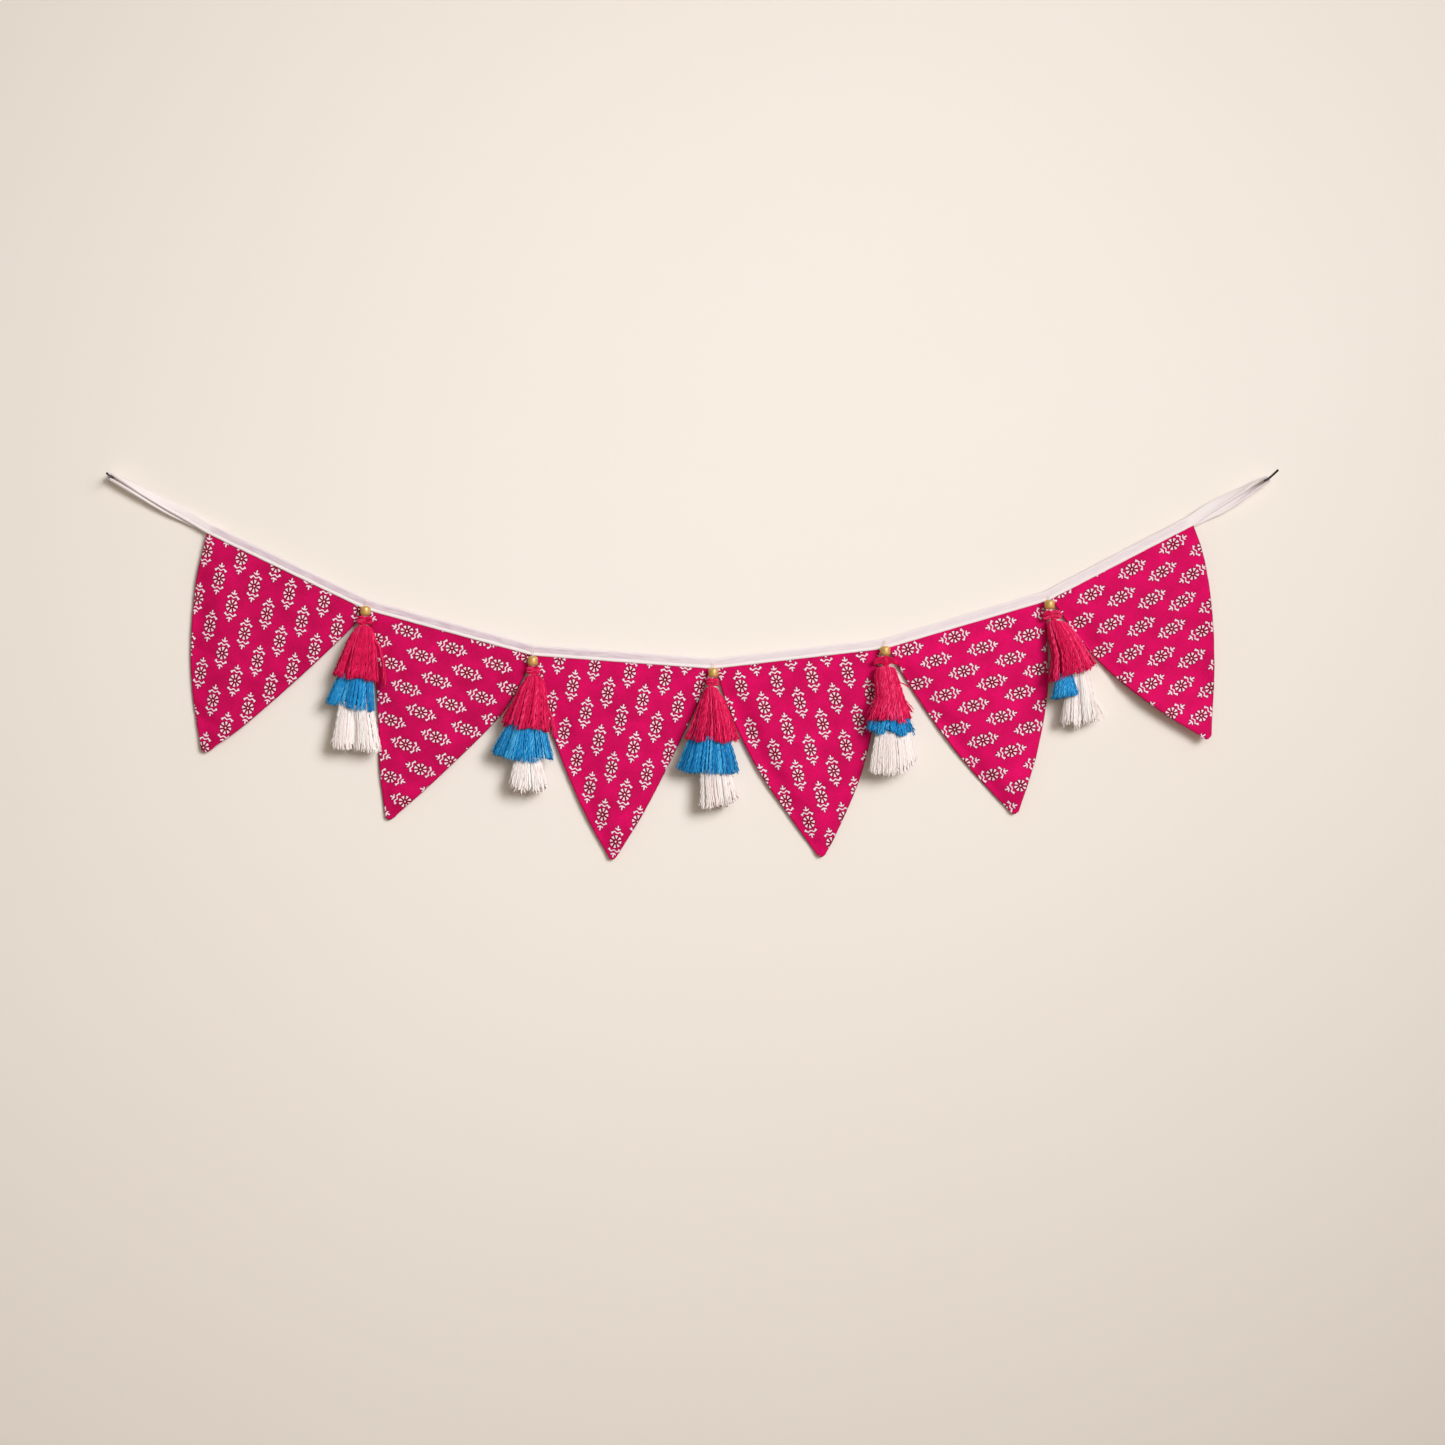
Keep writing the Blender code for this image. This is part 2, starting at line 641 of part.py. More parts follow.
def tassel_tier(tassel, colour, seed):
    """One tier: its head, and locks that hang round it like a skirt."""
    size = tier_numbers(tassel, colour)
    place = (size["head"].x, size["head_y"], size["head"].y)
    wide, deep = size["head_width"], size["head_depth"]
    rings = knot_rings(tassel) if colour == "magenta" else tie_rings(tassel, size)
    rings.append(ellipse(*place, wide, deep, LOCKS))
    bm = bmesh.new()
    loops = skin(bm, rings, close_ends=False)
    bm.faces.new(loops[0])
    rim = ellipse(*place, wide - LOCK_THICKNESS_AT_SIDES, deep - LOCK_THICKNESS_IN_FRONT, LOCKS)
    inner = [bm.verts.new(point) for point in rim]
    bm.faces.new(inner)
    bmesh.ops.recalc_face_normals(bm, faces=bm.faces)
    grow_locks(bm, loops[-1], inner, size, LOCK_SECTIONS[colour], random.Random(seed))
    return make_object(f"{tassel}_{colour}", bm, colour, smooth_below=35)


# Nails

def nail(side):
    """A headless nail from its flat wall end to its bent outer end."""
    row = NAILS[side]
    foot = Vector((row["x"], 0, row["z"])) * MM
    bend = Vector((row["bend_x"], 0, row["bend_z"])) * MM
    bent_length = row["length"] * MM - NAIL_STRAIGHT
    stations = [(foot, Vector((0, -1, 0)), NAIL_RADIUS)]
    for step in range(NAIL_BEND_STEPS + 1):
        share = step / NAIL_BEND_STEPS
        depth = NAIL_STRAIGHT + bent_length * share
        centre = foot + Vector((0, -depth, 0)) + bend * share**NAIL_BEND_POWER
        slope = NAIL_BEND_POWER * share ** (NAIL_BEND_POWER - 1) / bent_length
        along = (Vector((0, -1, 0)) + bend * slope).normalized()
        stations.append((centre, along, NAIL_RADIUS))
    centre, along, radius = stations[-1]
    stations[-1] = (centre - along * NAIL_CHAMFER, along, radius)
    stations.append((centre, along, radius - NAIL_CHAMFER))
    turn = 2 * math.pi / NAIL_SIDES
    rings = []
    for centre, along, radius in stations:
        right = Vector((0, 0, 1)).cross(along).normalized() * radius
        up = along.cross(right)
        rings.append(
            [centre + right * math.cos(i * turn) + up * math.sin(i * turn) for i in range(NAIL_SIDES)]
        )
    bm = bmesh.new()
    skin(bm, rings)
    return make_object(f"nail_{side}", bm, "nail", smooth_below=35)


def main():
    clear_scene()
    heading_tape()
    for index, name in enumerate(PENNANTS):
        pennant(name, index)
    for index, name in enumerate(TASSELS, start=1):
        bead(f"bead_{index}", *TASSELS[name]["bead"])
        for step, colour in enumerate(("magenta", "blue", "white")):
            tassel_tier(name, colour, seed=10 * index + step)
    for side in NAILS:
        nail(side)


main()
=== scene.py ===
"""Fabric toran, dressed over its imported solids: six block-printed cotton pennants in a white bias tape,
five three-tier floss tassels under wooden beads, and the two wall nails that the end loops hang from.

The wall is y = 0 and the toran hangs in front of it, at y < 0, with +Z up. Tables, runs and paths are in
millimetres, and turn to metres where a mesh is made.
"""

import math

import bpy
import numpy as np
from mathutils import Matrix, Vector, noise

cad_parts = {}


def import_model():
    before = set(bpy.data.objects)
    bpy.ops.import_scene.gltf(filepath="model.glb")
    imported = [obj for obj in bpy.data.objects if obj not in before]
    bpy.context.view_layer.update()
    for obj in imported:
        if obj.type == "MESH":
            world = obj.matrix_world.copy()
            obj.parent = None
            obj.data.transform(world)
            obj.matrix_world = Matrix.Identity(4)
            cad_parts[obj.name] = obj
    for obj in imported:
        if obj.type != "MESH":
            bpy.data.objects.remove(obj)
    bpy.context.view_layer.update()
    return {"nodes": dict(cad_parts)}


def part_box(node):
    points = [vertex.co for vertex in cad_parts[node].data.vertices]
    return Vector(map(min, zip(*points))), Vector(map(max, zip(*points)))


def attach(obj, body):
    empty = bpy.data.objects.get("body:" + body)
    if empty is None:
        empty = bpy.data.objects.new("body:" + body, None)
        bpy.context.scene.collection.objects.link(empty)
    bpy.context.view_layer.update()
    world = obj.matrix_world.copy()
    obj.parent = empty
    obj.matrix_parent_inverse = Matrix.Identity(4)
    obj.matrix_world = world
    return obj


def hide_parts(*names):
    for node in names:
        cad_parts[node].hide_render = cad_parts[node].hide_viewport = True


MM = 0.001

# Heading tape, as in the solids
TAPE_WIDTH = 9.0
TAPE_Y = -6.0
SLOT_ON_PENNANTS = 2.0
SLOT_IN_LOOPS = 0.3
NAIL_SEAT = 2.25
# Its mesh: the depth of its slot, the rise of its fold, the top of its hem, the spacing of its points along
# the tape, and how far from a joint it starts to turn
SLOT_DEPTH = 8.0
FOLD_RISE = 0.8
HEM_TOP = 2.8
RUN_STEP = 2.6
JOINT_BEND = 7.0
# Its machine stitches
STITCH_LENGTH = 2.2
STITCH_PITCH = 2.8
STITCH_HEIGHT = 2.6
STITCH_RADIUS = 0.17

# Pennants, as in the solids
CLOTH = 1.4
TUCK = 7.0
TIP_BOW = 2.5
TIP_TOWARD_WALL = 1.8
FOLD_RAMP = 25.0
# Their mesh: how far the seam's allowance and pucker reach, and the lines near a seam. The rest of its lines
# are evenly spaced.
SEAM_ALLOWANCE = 5.5
PUCKER_REACH = 2.5
PENNANT_DEPTH = 195.0
SEAM_LINES = np.array([0.0, 0.3, 0.8, 1.6, 3.0, 5.2])
ROWS = 62
COLUMNS = 38

# Beads and tassels, as in the solids
BEAD_RADIUS = 4.5
BEAD_HALF_HEIGHT = 4.1
BEAD_BORE = 1.3
BEAD_Y = -12.7
NECK_DROP = 5.0
# Their finer forms: how far a bead's rims are rounded, and how fast a tier widens below its head
BEAD_ROUNDING = 2.3
FLARE = 0.68
# Their threads: the radii, and the share of a tier's strands that lies at its surface
BEAD_THREAD_RADIUS = 0.2
TIE_RADIUS = 0.7
WRAP_RADIUS = 0.34
WAIST_RADIUS = 0.4
LOBE_RADIUS = 0.46
FLYAWAY_RADIUS = 0.13
FRAY_RADIUS = 0.15
AT_SURFACE = 0.75

# Lower edge of the tape at its two ends and at the five tassels, from left to right
JOINTS = [
    # x, z
    (-420.2, -47.4), (-281, -114.4), (-135.7, -154.2), (20.9, -165.7),
    (170.1, -148.3), (312.3, -106.4), (439.4, -40.5),
]

NAILS = {
    "left": (-502, 1.3),
    "right": (502, -1.3),
}

# Middle of the tape along its end loops. Twist 0 faces the viewer, 90 lies flat on the nail.
LOOPS = {
    "left": {
        "back": [
            # x, z, y, twist
            (-406, -49.6, -2.7, 180), (-417, -44.2, -2.7, 180), (-428, -38.9, -2.8, 178),
            (-437.6, -34.4, -3, 172), (-452, -27.6, -3.8, 160), (-464.5, -20.8, -4.8, 146),
            (-477, -13.9, -5.8, 130), (-489.5, -7.2, -6.4, 112),
        ],
        "front": [
            (-487.5, -3.8, -6.6, 66), (-476, -10.7, -6.5, 48), (-463.7, -17.6, -6.4, 33),
            (-452.5, -23.8, -6.2, 20), (-441, -29.9, -6, 8), (-430.5, -36, -6, 0),
        ],
    },
    "right": {
        "front": [
            (446.5, -30, -6, 4), (454, -25.3, -6.1, 14), (463.7, -19.5, -6.4, 30),
            (472, -14.8, -6.6, 44), (481, -9.9, -6.7, 60), (490, -4.6, -6.7, 75),
        ],
        "back": [
            (489, -10.6, -6.2, 118), (479.5, -16.6, -5.4, 142), (469.8, -22.4, -4.4, 158),
            (460.8, -27.4, -3.6, 168), (451.5, -31.4, -3, 176), (443, -35.3, -2.7, 180),
            (434, -39.4, -2.7, 180), (425, -43.6, -2.7, 180),
        ],
    },
}

# One layer of the folded tape, from its lower edge up: a rolled hem, the stitch line, flat cloth
TAPE_PROFILE = [
    # height above the lower edge, lift off the pennant
    (0.00, 0.30), (0.12, 0.62), (0.50, 0.94), (1.20, 1.05),
    (1.90, 0.98), (2.35, 0.72), (2.60, 0.52), (2.90, 0.62),
    (4.20, 0.70), (6.00, 0.68), (7.60, 0.62),
]

# The two sides of each pennant, from the tape's lower edge down to the tip
PENNANTS = {
    "pennant_1": {
        "left": [(-419.5, -47.7), (-429.5, -92), (-434, -150), (-431.5, -195), (-424.5, -236.5)],
        "right": [(-284, -113), (-290, -126), (-328.9, -164), (-385.4, -213.6), (-415, -235)],
    },
    "pennant_2": {
        "left": [(-278, -115.2), (-273.2, -165), (-270.6, -214.5), (-269.5, -255), (-264.5, -295)],
        "right": [(-138.2, -153.5), (-141.5, -168), (-164.4, -206.6), (-217.5, -259.7), (-256, -294)],
    },
    "pennant_3": {
        "left": [(-133.2, -154.4), (-128, -190), (-112.2, -241.4), (-90, -293), (-69.5, -330.5)],
        "right": [(18.4, -165.5), (8, -195.3), (-16.5, -246.6), (-38.3, -288.8), (-62, -327.5)],
    },
    "pennant_4": {
        "left": [(23.4, -165.4), (35.2, -202.8), (60, -253.6), (89.6, -297.1), (110.5, -326.5)],
        "right": [(167.6, -148.6), (161.5, -205.8), (150, -257), (129.6, -306.2), (118.5, -327.5)],
    },
    "pennant_5": {
        "left": [(172.6, -147.6), (193.5, -182.4), (219.2, -220.5), (247.9, -256.2), (279, -289.5)],
        "right": [(309.8, -107.1), (312.3, -157.9), (311.1, -193.9), (301.9, -242.3), (287, -289.5)],
    },
    "pennant_6": {
        "left": [(314.8, -105.1), (340.8, -141.1), (370, -172.3), (408, -202), (446, -225.5)],
        "right": [(438.8, -40.8), (448.1, -69.2), (455.5, -118), (457, -177), (453.6, -223.5)],
    },
}

# Soft folds and finer creases: from a point to a point, half width, height toward the viewer
FOLDS = {
    # x_0, z_0, x_1, z_1, half width, height
    "pennant_1": [
        (-424, -110, -425, -215, 12, -1.6), (-402, -80, -410, -225, 16, 1.6),
        (-430, -147, -396, -162, 3, -1.1), (-396, -160, -372, -178, 3, 0.9),
        (-429, -206, -404, -220, 3, -1), (-360, -90, -330, -150, 7, 0.4),
        (-424, -60, -434, -200, 7, -1.2),
    ],
    "pennant_2": [
        (-262, -215, -262, -290, 9, -1.2), (-236, -180, -215, -250, 18, 1.3),
        (-200, -150, -150, -160, 3.2, -0.7), (-252, -246, -228, -268, 3, 0.4),
        (-277, -130, -269, -280, 8, -1.4),
    ],
    "pennant_3": [
        (-98, -219, -52, -236, 7, 1.1), (-50, -190, -66, -310, 20, 1.6),
        (-100, -224, -78, -226, 2.6, -0.8), (-66, -208, -14, -216, 3, -0.8),
        (-94, -258, -82, -262, 2, 0.4), (-20, -220, 6, -214, 3.2, 0.5),
        (-132, -164, -72, -322, 8, -1.8),
    ],
    "pennant_4": [
        (60, -200, 105, -300, 16, 1.5), (118, -190, 125, -300, 18, -1),
        (30, -168, 84, -163, 3, -0.8), (100, -156, 150, -152, 3, 0.35),
        (26, -172, 106, -318, 9, -2.8),
    ],
    "pennant_5": [
        (181, -157, 226, -158, 6, 0.9), (178, -158, 275, -286, 9, -3),
        (255, -160, 280, -270, 20, 1.5), (182, -160, 208, -158, 2.6, -0.5),
        (250, -250, 292, -262, 4, 0.4),
    ],
    "pennant_6": [
        (384, -184, 448, -226, 17, 8), (432, -110, 440, -190, 18, -1.2),
        (424, -150, 452, -168, 4, 0.4), (340, -112, 380, -96, 4, -0.4),
        (318, -110, 386, -182, 9, -3),
    ],
}

# Where the block print lies: a wheel's centre, and the print's two directions in degrees from +X.
# The last value, its tone shift, is how much brighter or deeper this pennant is drawn, the left ones deeper.
PRINT_LAY = {
    "pennant_1": dict(wheel=(-389.1, -69.9), along=78.5, across=167.6, tone_shift=-0.18),
    "pennant_2": dict(wheel=(-245.3, -132.9), along=-20.5, across=64.3, tone_shift=-0.18),
    "pennant_3": dict(wheel=(-101.1, -180.3), along=79.1, across=168.7, tone_shift=-0.05),
    "pennant_4": dict(wheel=(45.4, -180.4), along=102.9, across=187.1, tone_shift=-0.02),
    "pennant_5": dict(wheel=(190.4, -148.8), along=15.3, across=105.4, tone_shift=0.08),
    "pennant_6": dict(wheel=(385.1, -79.1), along=31.5, across=123.9, tone_shift=0.05),
}
# The back cloth was cut elsewhere from the same print
BACK_CLOTH_SHIFT = np.array([7, 11])
# Half a repeat of the half-drop print
PRINT_ALONG = 20.95
PRINT_ACROSS = 15.55
# The print's wheel: its wedges reach from the hub to the rim round a dot, with gaps between them
WHEEL_RIM = 5.1
WHEEL_HUB = 1.9
WHEEL_DOT = 0.75
WHEEL_HALF_GAP = 0.66
# and at each end of the wheel a waved bracket with a bud beyond it
BRACKET_AT = 7.95
BRACKET_WAVE = 4.9
BRACKET_SWAY = 0.58
BRACKET_HALF_STROKE = 0.62
BUD_AT = 12.3
PETAL_HALF_LENGTH = 1.2
PETAL_HALF_WIDTH = 0.66
LEAF_RADIUS = 2.7
OUTLINE = 0.46

# Tassels from left to right. "part" is where the locks part, 0 at the left and 1 at the right, and how far,
# and "groove" is how deep. "hem" is how far below the straight hem line the floss hangs there.
# "left_side" and "right_side" are x at shares of the tier's height. "knot_droop" is how far a knot's lobe
# hangs at its end, "left_lobe" and "left_lobe_droop" are the left lobe's share of the reach and the droop,
# and "neck_drop" is how far below the neck the magenta starts to widen.
TASSELS = {
    "tassel_1": dict(
        bead=(-280.7, -115.4), neck=(-282.3, -128), knot_half_width=6.4, knot_droop=0.5,
        magenta=dict(
            hem_left=(-308.2, -171), hem_right=(-268.5, -177.9),
            part=(0.56, 1.2), groove=2.4, tone_offset=-0.12,
            hem=[(0, 0), (0.3, 0.8), (0.6, -0.6), (1, 0)],
        ),
        blue=dict(
            head=(-286.8, -160.5), hem_left=(-314.8, -195.3), hem_right=(-272.3, -201.8),
            part=(0.3, 2.2), groove=3.4,
            hem=[(0, -1.5), (0.14, 1), (0.28, -0.6), (0.34, -0.6), (0.65, 2.2), (0.9, 0.8), (1, -0.8)],
        ),
        white=dict(
            head=(-289.5, -190), hem_left=(-309.7, -231.9), hem_right=(-266.6, -236.2),
            part=(0.44, 1.6), groove=5,
            hem=[(0, 0), (0.3, 2.6), (0.45, 1.5), (0.75, 1.5), (1, 0)],
        ),
    ),
    "tassel_2": dict(
        bead=(-135.5, -158.9), neck=(-134.6, -171.2), knot_half_width=5.6, knot_droop=0.3,
        magenta=dict(
            hem_left=(-160.8, -215.3), hem_right=(-121, -219.7),
            hem=[(0, -1), (0.3, 1.2), (0.6, 0.2), (1, 0)],
        ),
        blue=dict(
            head=(-139.5, -202), hem_left=(-171.8, -238.8), hem_right=(-116.4, -244.5),
            head_width=6, tone_offset=0.1,
            hem=[(0, 0), (0.25, 2.5), (0.5, 5), (0.7, 4.5), (0.8, 1.5), (1, -0.5)],
        ),
        white=dict(
            head=(-140.5, -232), hem_left=(-155.5, -266.7), hem_right=(-121.5, -270.1),
            head_width=4.5,
            hem=[(0, -2), (0.2, 3), (0.4, 4.5), (0.5, 2), (0.7, 4), (0.85, 0), (1, -5)],
        ),
    ),
    "tassel_3": dict(
        bead=(21.2, -169), neck=(19.3, -181.4), knot_half_width=5.4, knot_droop=0.5,
        magenta=dict(
            hem_left=(-3.4, -226.6), hem_right=(43.2, -228), part=(0.45, 1), groove=2.2,
            left_side=[(0, 12.6), (0.12, 10.3), (0.33, 6.7), (0.54, 3.8), (0.76, 0.6), (1, -3.2)],
            right_side=[(0, 26), (0.12, 29.9), (0.33, 33.3), (0.54, 36.9), (0.76, 40.2), (1, 43.2)],
            hem=[(0, 0), (0.25, 1.8), (0.5, 0), (0.7, 1.6), (1, 0)],
        ),
        blue=dict(
            head=(18.5, -213), hem_left=(-10.3, -251.9), hem_right=(43.2, -257.1), tone_offset=-0.12,
            hem=[(0, 0), (0.2, 3.6), (0.43, 2.8), (0.54, 3.1), (0.71, 2.2), (0.9, 0.8), (1, -1.6)],
        ),
        white=dict(
            head=(21.5, -244), hem_left=(10.5, -284.9), hem_right=(41.5, -281.3),
            hem=[(0, 0), (0.08, 1.9), (0.23, 2.9), (0.37, 0.5), (0.5, 2.2), (0.74, 1.8), (0.82, -0.7),
                    (1, -2.6)],
        ),
    ),
    "tassel_4": dict(
        bead=(170.2, -150.2), neck=(171, -163.6), neck_drop=2,
        knot_half_width=10.6, knot_droop=3.4, knot_is_arch=True,
        magenta=dict(
            hem_left=(153.6, -210.8), hem_right=(194, -208.5),
            left_side=[(0, 161.6), (0.1, 160.4), (0.35, 160.8), (0.6, 160.6), (0.8, 157), (1, 153.6)],
            right_side=[(0, 178.6), (0.1, 180.5), (0.35, 183.6), (0.65, 187.8), (1, 193)],
            hem=[(0, 0), (0.45, -0.7), (0.7, 2.7), (0.85, 2.5), (1, 0.5)],
        ),
        blue=dict(
            head=(173.5, -196), hem_left=(153.6, -223.4), hem_right=(194.4, -222.7),
            hem=[(0, -6), (0.25, 0.3), (0.45, -4), (0.72, 2), (1, -3.5)],
        ),
        white=dict(
            head=(175.5, -214.5), hem_left=(156.2, -256.4), hem_right=(197, -250.5),
            hem=[(0, -1), (0.2, 1.6), (0.45, 4), (0.7, 3), (0.88, 0), (1, -5)],
        ),
    ),
    "tassel_5": dict(
        bead=(312.9, -110), neck=(316.2, -123.6), knot_half_width=8.8, knot_droop=0.6,
        left_lobe=0.8, left_lobe_droop=6,
        magenta=dict(
            hem_left=(311.5, -177.9), hem_right=(352, -160.8), part=(0.17, 0.5),
            hem_y=-19, hem_depth=10.3,
            left_side=[(0, 310), (0.26, 311.5), (0.52, 313.6), (1, 311.5)],
            right_side=[(0, 330), (0.15, 335), (0.53, 343.6), (0.75, 348), (1, 352.5)],
            hem=[(0, 0), (0.45, 1.2), (0.9, 3), (1, 0)],
        ),
        blue=dict(
            head=(325.5, -168.5), head_y=-18.5, head_width=4.5, head_depth=2.6,
            hem_left=(313.6, -192.3), hem_right=(335.8, -187.9), hem_y=-20.8, hem_depth=4.6,
            tied_at=-1.3, hem=[(0, 0), (1, 0)],
        ),
        white=dict(
            head=(336, -158), head_y=-15.9, head_width=4.5, head_depth=2.4,
            hem_left=(322.8, -214.5), hem_right=(354.6, -211.8), hem_y=-13, hem_depth=5.8,
            part=(0.47, 1.4), groove=2.5, tied_under="magenta", tied_at=1.3,
            hem=[(0, 0), (0.33, 0), (0.38, 3.6), (0.5, 4.4), (0.65, 0), (1, -2)],
        ),
    ),
}
# What a tier has where its own row doesn't say: half widths and half depths at its head and hem, how much
# brighter or deeper its floss is drawn, and the tier it is tied to and how far to the right of that tier's
# middle
ANY_TIER = dict(part=(0.5, 0), groove=0, tone_offset=0, tied_at=0)
TIER_DEFAULTS = {
    "magenta": dict(head_y=BEAD_Y, head_width=8.2, head_depth=4.6, hem_y=-18.3, hem_depth=9.6),
    "blue": dict(head_y=-16.4, head_width=9.5, head_depth=3, hem_y=-17.2, hem_depth=8, tied_under="magenta"),
    "white": dict(
        head_y=-16.4, head_width=11.5, head_depth=2.9, hem_y=-16.8, hem_depth=7.6, tied_under="blue",
    ),
}

# How full each tier is, and how its floss behaves, in mm where it is a length.
# Locks: how many, how far one spreads over its neighbours, draws in toward the hem and sits uneven, how much
# deeper its sides lie ("valley"), and how much longer its middle hangs ("point").
# Strands: their number, points and radius, the height and length of their waves, and how their ends differ.
# "core" and "heart" are the shade and the reach of the tier's heart, "soft" and "round" how far the strands
# shade as one mass and how rounded that mass is.
# The coloured hearts are painted deep, painted shade between the locks; the white one bright, painted light.
FLOSS = {
    "magenta": dict(
        strands=340, steps=24, radius=0.46, crimp=0.42, wave=7.5, jitter=0.5,
        locks=13, spread=1.2, gather=0.2, valley=0.16, uneven=0.2, point=0.9,
        core=0.20, heart=0.62, soft=0.45, round=0.6,
    ),
    "blue": dict(
        strands=340, steps=21, radius=0.46, crimp=0.40, wave=5.6, jitter=0.4,
        locks=12, spread=1.2, gather=0.2, valley=0.16, uneven=0.2, point=1.2,
        core=0.20, heart=0.62, soft=0.45, round=0.6,
    ),
    "white": dict(
        strands=350, steps=18, radius=0.48, crimp=0.32, wave=7.5, jitter=1,
        locks=10, spread=1.6, gather=0.15, valley=0.03, uneven=0.12, point=1.6,
        core=0.90, heart=0.8, soft=0.8, round=0.3,
    ),
}

# Locks that have come loose from a tier's side and hang clear of it
LOOSE = [
    # tassel, tier, strands, half width at the end, x and z from the tier to the end
    ("tassel_1", "magenta", 28, 1.7, [(-275.5, -136), (-268.6, -148.3), (-264.6, -168), (-264.8, -183)]),
    ("tassel_2", "magenta", 16, 1.5, [(-126.5, -192), (-121, -204), (-118.4, -214), (-117.2, -226.2)]),
    ("tassel_2", "magenta", 10, 3.6, [(-149, -192), (-157, -202), (-160.5, -209)]),
    ("tassel_4", "magenta", 12, 2.2, [(181, -184), (187, -194), (194.4, -204)]),
    ("tassel_4", "magenta", 4, 3.2, [(180, -176), (186, -179), (193, -182.5)]),
    ("tassel_4", "blue", 3, 0.9, [(189, -214), (192.6, -219), (195, -225)]),
    ("tassel_5", "white", 5, 2.6, [(349, -190), (356, -200), (361, -209.5)]),
]

# The two strands of thread from the tape down through each bead
BEAD_THREAD = [
    # x to either side of the bead's middle, y, height over the bead's top
    (0.9, -7.4, 5.6),
    (1, -8.6, 4.6),
    (0.8, -9.3, 3),
    (0.5, -10.8, 1.2),
    (0.3, BEAD_Y, -0.4),
    (0.3, BEAD_Y, -BEAD_HALF_HEIGHT),
    (0.3, BEAD_Y, -2 * BEAD_HALF_HEIGHT - 1.2),
]


# Nodes

def hex_colour(text):
    """A hex colour as linear red, green, blue and alpha."""
    channels = [int(text[i:i + 2], 16) / 255 for i in (1, 3, 5)]
    linear = [c / 12.92 if c <= 0.04045 else ((c + 0.055) / 1.055) ** 2.4 for c in channels]
    return (*linear, 1.0)


def feed(node, feeds):
    """Sets a node's sockets or links them, by their names or in their order. A text is a hex colour."""
    for socket, value in feeds.items() if isinstance(feeds, dict) else enumerate(feeds):
        if isinstance(value, str):
            value = hex_colour(value)
        if isinstance(value, bpy.types.Node):
            value = value.outputs[0]
        if isinstance(value, bpy.types.NodeSocket):
            node.id_data.links.new(value, node.inputs[socket])
        else:
            node.inputs[socket].default_value = value


def add(tree, kind, feeds=(), **settings):
    """Adds a shader node with its settings and feeds its sockets. A kind can name its operation too."""
    kind, *operation = kind.split()
    node = tree.nodes.new("ShaderNode" + kind)
    if operation:
        node.operation = operation[0]
    for name, value in settings.items():
        setattr(node, name, value)
    feed(node, feeds)
    return node


def blank_material(name):
    """A new material with its node tree and shader."""
    made = bpy.data.materials.new(name)
    made.use_nodes = True
    return made, made.node_tree, made.node_tree.nodes["Principled BSDF"]


# Materials

def printed_cotton():
    """Magenta cotton cambric, block-printed with rows of wheels: matt cloth under slightly uneven ink."""
    made, tree, shader = blank_material("printed_cotton_cambric")
    place = add(tree, "UVMap", uv_map="print")
    white_ink, dark_ink = block_print(tree, place)
    # slubs in the dyed yarn, 1 to 2 mm long, on clouds of deeper dye 20 mm across
    slubs = add(tree, "TexNoise", {"Vector": place, "Scale": 0.75, "Detail": 3.0})
    clouds = add(tree, "TexNoise", {"Vector": place, "Scale": 0.05, "Detail": 4.0})
    tone_shift = add(tree, "Math MULTIPLY_ADD", (clouds, 1.2, slubs))
    # each pennant is drawn brighter or deeper by its tone shift, the left ones deeper and the right ones
    # brighter
    pennant_level = add(tree, "Attribute", attribute_name="pennant_tone")
    tone_offset = add(tree, "Math ADD", (tone_shift, pennant_level.outputs["Fac"]))
    bright = add(tree, "MapRange", (tone_offset, 0.6, 1.6, 0.0, 1.0))
    # the white paste took more or less of the magenta under it
    patchy = add(tree, "TexNoise", {"Vector": place, "Scale": 0.9, "Detail": 2.0})
    paste = add(tree, "Mix", {0: patchy, 6: "#FFE8F8", 7: "#FFCCE4"}, data_type="RGBA")
    layers = [
        # how much of it shows, its colour
        (bright, "#F0046C"),
        (dark_ink, "#8A002E"),
        (white_ink, paste.outputs[2]),
    ]
    colour = "#B4004A"
    for share, over in layers:
        colour = add(tree, "Mix", {0: share, 6: colour, 7: over}, data_type="RGBA").outputs[2]
    # painted shade along the seams: within about 1 mm of a seam the cloth darkens to deep maroon, as its
    # turned edge lies in shade
    rim = add(tree, "Attribute", attribute_name="rim")
    seam_shaded = add(tree, "Mix", {0: rim.outputs["Fac"], 6: "#64001E", 7: colour}, data_type="RGBA")
    # plain weave: the real threads are 0.3 mm apart, drawn at 0.8 mm so that they show
    thread = {"Vector": place, "Scale": 0.39, "Distortion": 0.6, "Detail": 1.0}
    warp = add(tree, "TexWave", thread, bands_direction="X")
    weft = add(tree, "TexWave", thread, bands_direction="Y")
    weave = add(tree, "Math ADD", (warp.outputs[1], weft.outputs[1]))
    relief = add(tree, "Math MULTIPLY_ADD", (slubs, 1.5, weave))
    bump = add(tree, "Bump", {"Strength": 0.35, "Distance": 0.00012, "Height": relief})
    feed(shader, {
        "Base Color": seam_shaded.outputs[2],
        "Normal": bump,
        "Roughness": 0.85,
        "Specular IOR Level": 0.15,
        "Sheen Weight": 0.03,
        "Sheen Roughness": 0.4,
        "Sheen Tint": "#FF9AC0",
    })
    return made


